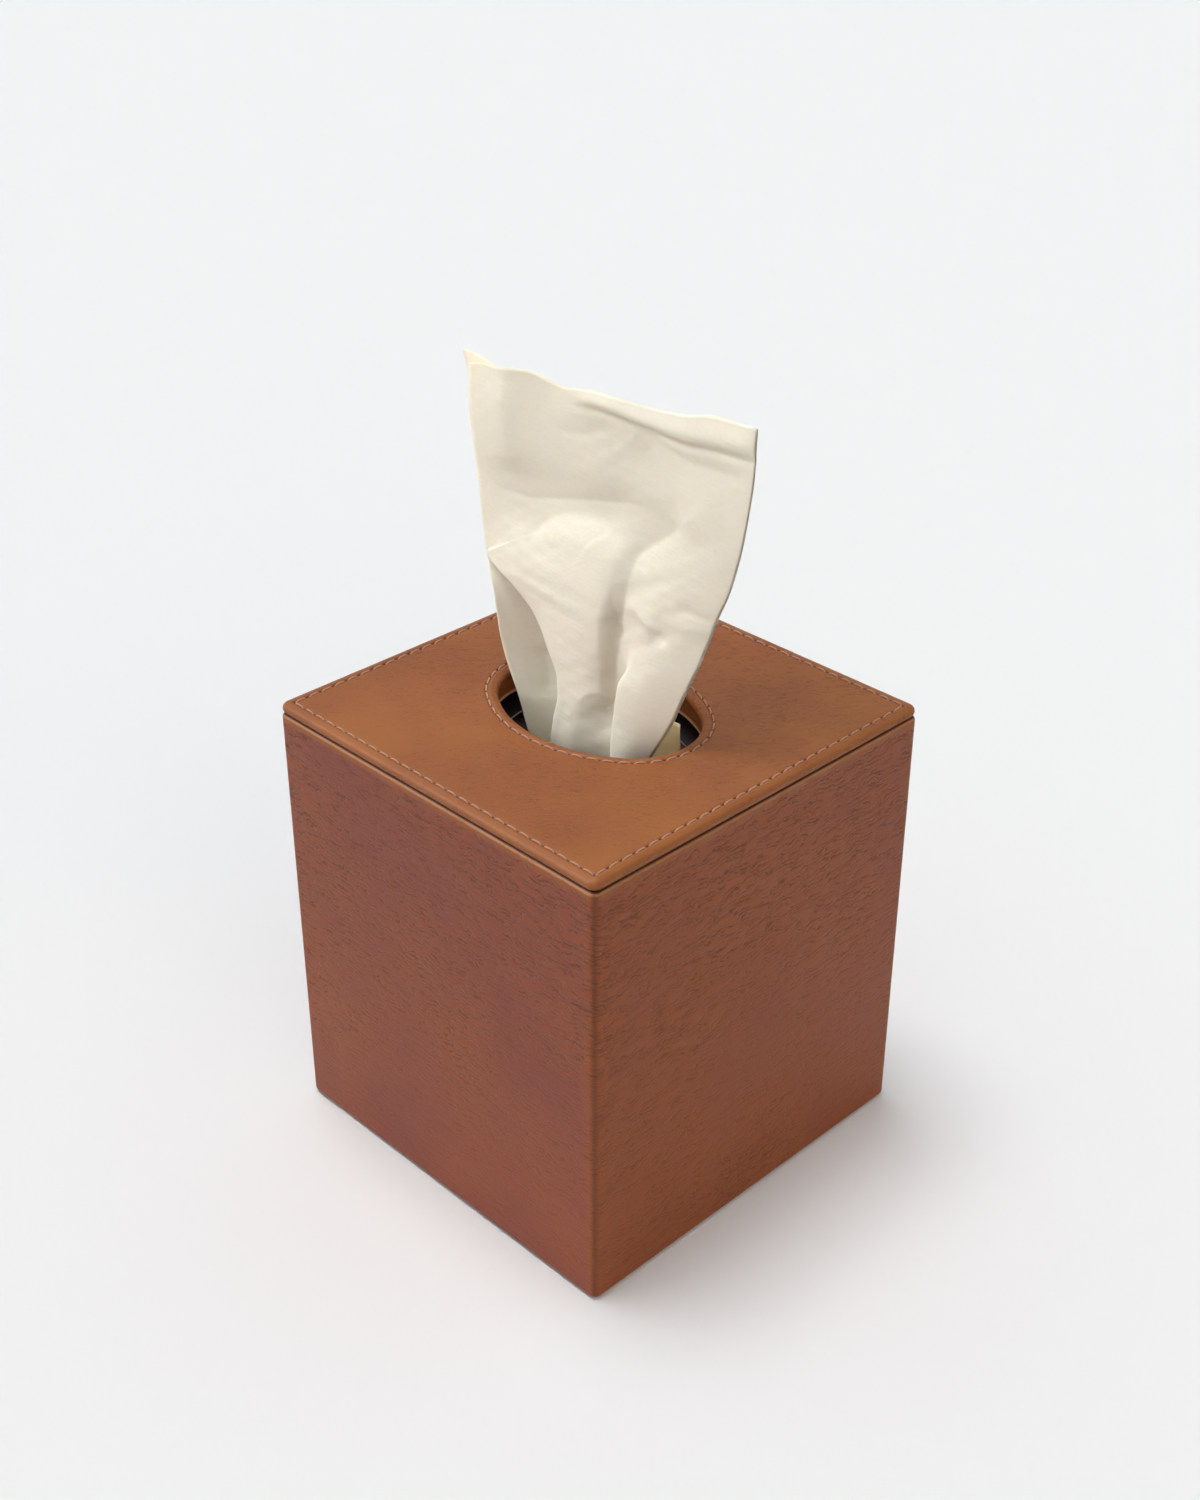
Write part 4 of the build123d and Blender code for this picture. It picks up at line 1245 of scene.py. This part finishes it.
class TISSUE_OT_stage(bpy.types.Operator):
    """Sets the camera, the lamps, the sky and the floor"""

    bl_idname = "tissue_box.stage"
    bl_label = "Stage"

    def execute(self, context):
        scene = context.scene
        stage = scene.tissue_stage
        scene.view_settings.view_transform = "Standard"

        lens = bpy.data.cameras.new("camera")
        lens.lens, lens.sensor_width = stage.lens, 36
        lens.clip_start, lens.clip_end = 0.01, 60
        scene.camera = aimed("camera", lens, (-0.61512, 0.60215, -0.50896))
        scene.camera.location = (0.36563, -0.35726, 0.42988)

        # The sky: even light, and the background's own grey where it is seen or reflected.
        scene.world = bpy.data.worlds.new("studio")
        scene.world.use_nodes = True
        scene.world.node_tree.nodes.clear()
        add = partial(add_node, scene.world.node_tree)
        rays = add("ShaderNodeLightPath").outputs
        seen = add(
            "ShaderNodeMath", {0: rays["Is Camera Ray"], 1: rays["Is Transmission Ray"]},
            operation="MAXIMUM")
        light, shown, mirrored = (
            add("ShaderNodeBackground", {"Color": colour, "Strength": strength})
            for colour, strength in (
                ((0.97, 0.985, 0.99, 1.0), stage.sky_strength),
                (stage.paper_grey, 1.0), (stage.paper_grey, 0.65))
        )
        glossy = add("ShaderNodeMixShader", {0: rays["Is Glossy Ray"], 1: light, 2: mirrored})
        mixed = add("ShaderNodeMixShader", {0: seen, 1: glossy, 2: shown})
        add("ShaderNodeOutputWorld", {"Surface": mixed})

        # The floor keeps the object's shadow.
        matt = new_material("matt_background_paper", "Object", background_paper, stage)
        reach = 12.0
        corners = [(x * reach, y * reach, 0) for x, y in ((-1, -1), (1, -1), (1, 1), (-1, 1))]
        floor = mesh_object("floor", corners, [(0, 1, 2, 3)], matt)

        # A broad softbox overhead, a window low on the left, a weak warm fill on the right,
        # and two reflector cards. Flags keep the window off the floor, so that only the
        # softbox's short shadow falls there, and the low fill off the tissue above the lid.
        # The cards are held so close that they reach the tissues alone, past the hole's rim.
        tissues = [bpy.data.objects[name] for name in ("standing_tissue", "following_tissue")]
        for name, towards, strength, spread, tint, state, flagged in (
            ("overhead_softbox", (0.16, 0.07, -0.98), stage.key_strength, 26, "#FFFFFF", None, ()),
            ("window", (0.56, 0.59, -0.58), stage.window_strength, 34, "#FDFDFF",
             "EXCLUDE", [floor]),
            ("fill", (-0.92, 0.30, -0.26), stage.fill_strength, 60, "#FFEBD2",
             "EXCLUDE", tissues[:1]),
            ("card", (0.46, 0.78, -0.42), stage.card_strength, 40, "#FAFCFF",
             "INCLUDE", tissues),
            ("back_card", (0.25, -0.80, -0.55), stage.back_card_strength, 60, "#FFEBD0",
             "INCLUDE", tissues),
        ):
            sun = bpy.data.lights.new(name, "SUN")
            sun.energy, sun.angle, sun.color = strength, math.radians(spread), linear(tint)[:3]
            lamp = aimed(name, sun, towards)
            if not flagged:
                continue
            flag = bpy.data.collections.new("flag_" + name)
            for piece in flagged:
                flag.objects.link(piece)
            for linked in flag.collection_objects:
                linked.light_linking.link_state = state
            lamp.light_linking.receiver_collection = flag
            if state == "INCLUDE":
                lamp.light_linking.blocker_collection = flag
        return {"FINISHED"}


class TISSUE_PT_panel(bpy.types.Panel):
    """Lists the makers of the tissue box's pieces"""

    bl_label = "Tissue box"
    bl_idname = "TISSUE_PT_panel"
    bl_space_type = "VIEW_3D"
    bl_region_type = "UI"
    bl_category = "Tissue box"

    def draw(self, context):
        for maker in MAKERS:
            self.layout.operator(maker.bl_idname)


SETTINGS = {
    "tissue_leather": LeatherSettings,
    "tissue_stitches": StitchSettings,
    "tissue_paper": PaperSettings,
    "tissue_stage": StageSettings,
}
MAKERS = (
    TISSUE_OT_carried_nodes,
    TISSUE_OT_case_hide,
    TISSUE_OT_lid_hide,
    TISSUE_OT_stitches,
    TISSUE_OT_film,
    TISSUE_OT_stack,
    TISSUE_OT_pulled,
    TISSUE_OT_next,
    TISSUE_OT_stage,
)


def register():
    """Registers the settings, the makers and the panel."""
    for name, group in SETTINGS.items():
        bpy.utils.register_class(group)
        setattr(bpy.types.Scene, name, bpy.props.PointerProperty(type=group))
    for maker in (*MAKERS, TISSUE_PT_panel):
        bpy.utils.register_class(maker)


def unregister():
    """Takes them out again."""
    for maker in (TISSUE_PT_panel, *reversed(MAKERS)):
        bpy.utils.unregister_class(maker)
    for name, group in reversed(SETTINGS.items()):
        delattr(bpy.types.Scene, name)
        bpy.utils.unregister_class(group)


def main():
    """Makes every piece in order."""
    register()
    build_materials(bpy.context.scene)
    for maker in MAKERS:
        group, verb = maker.bl_idname.split(".")
        getattr(getattr(bpy.ops, group), verb)()


if __name__ == "__main__":
    main()
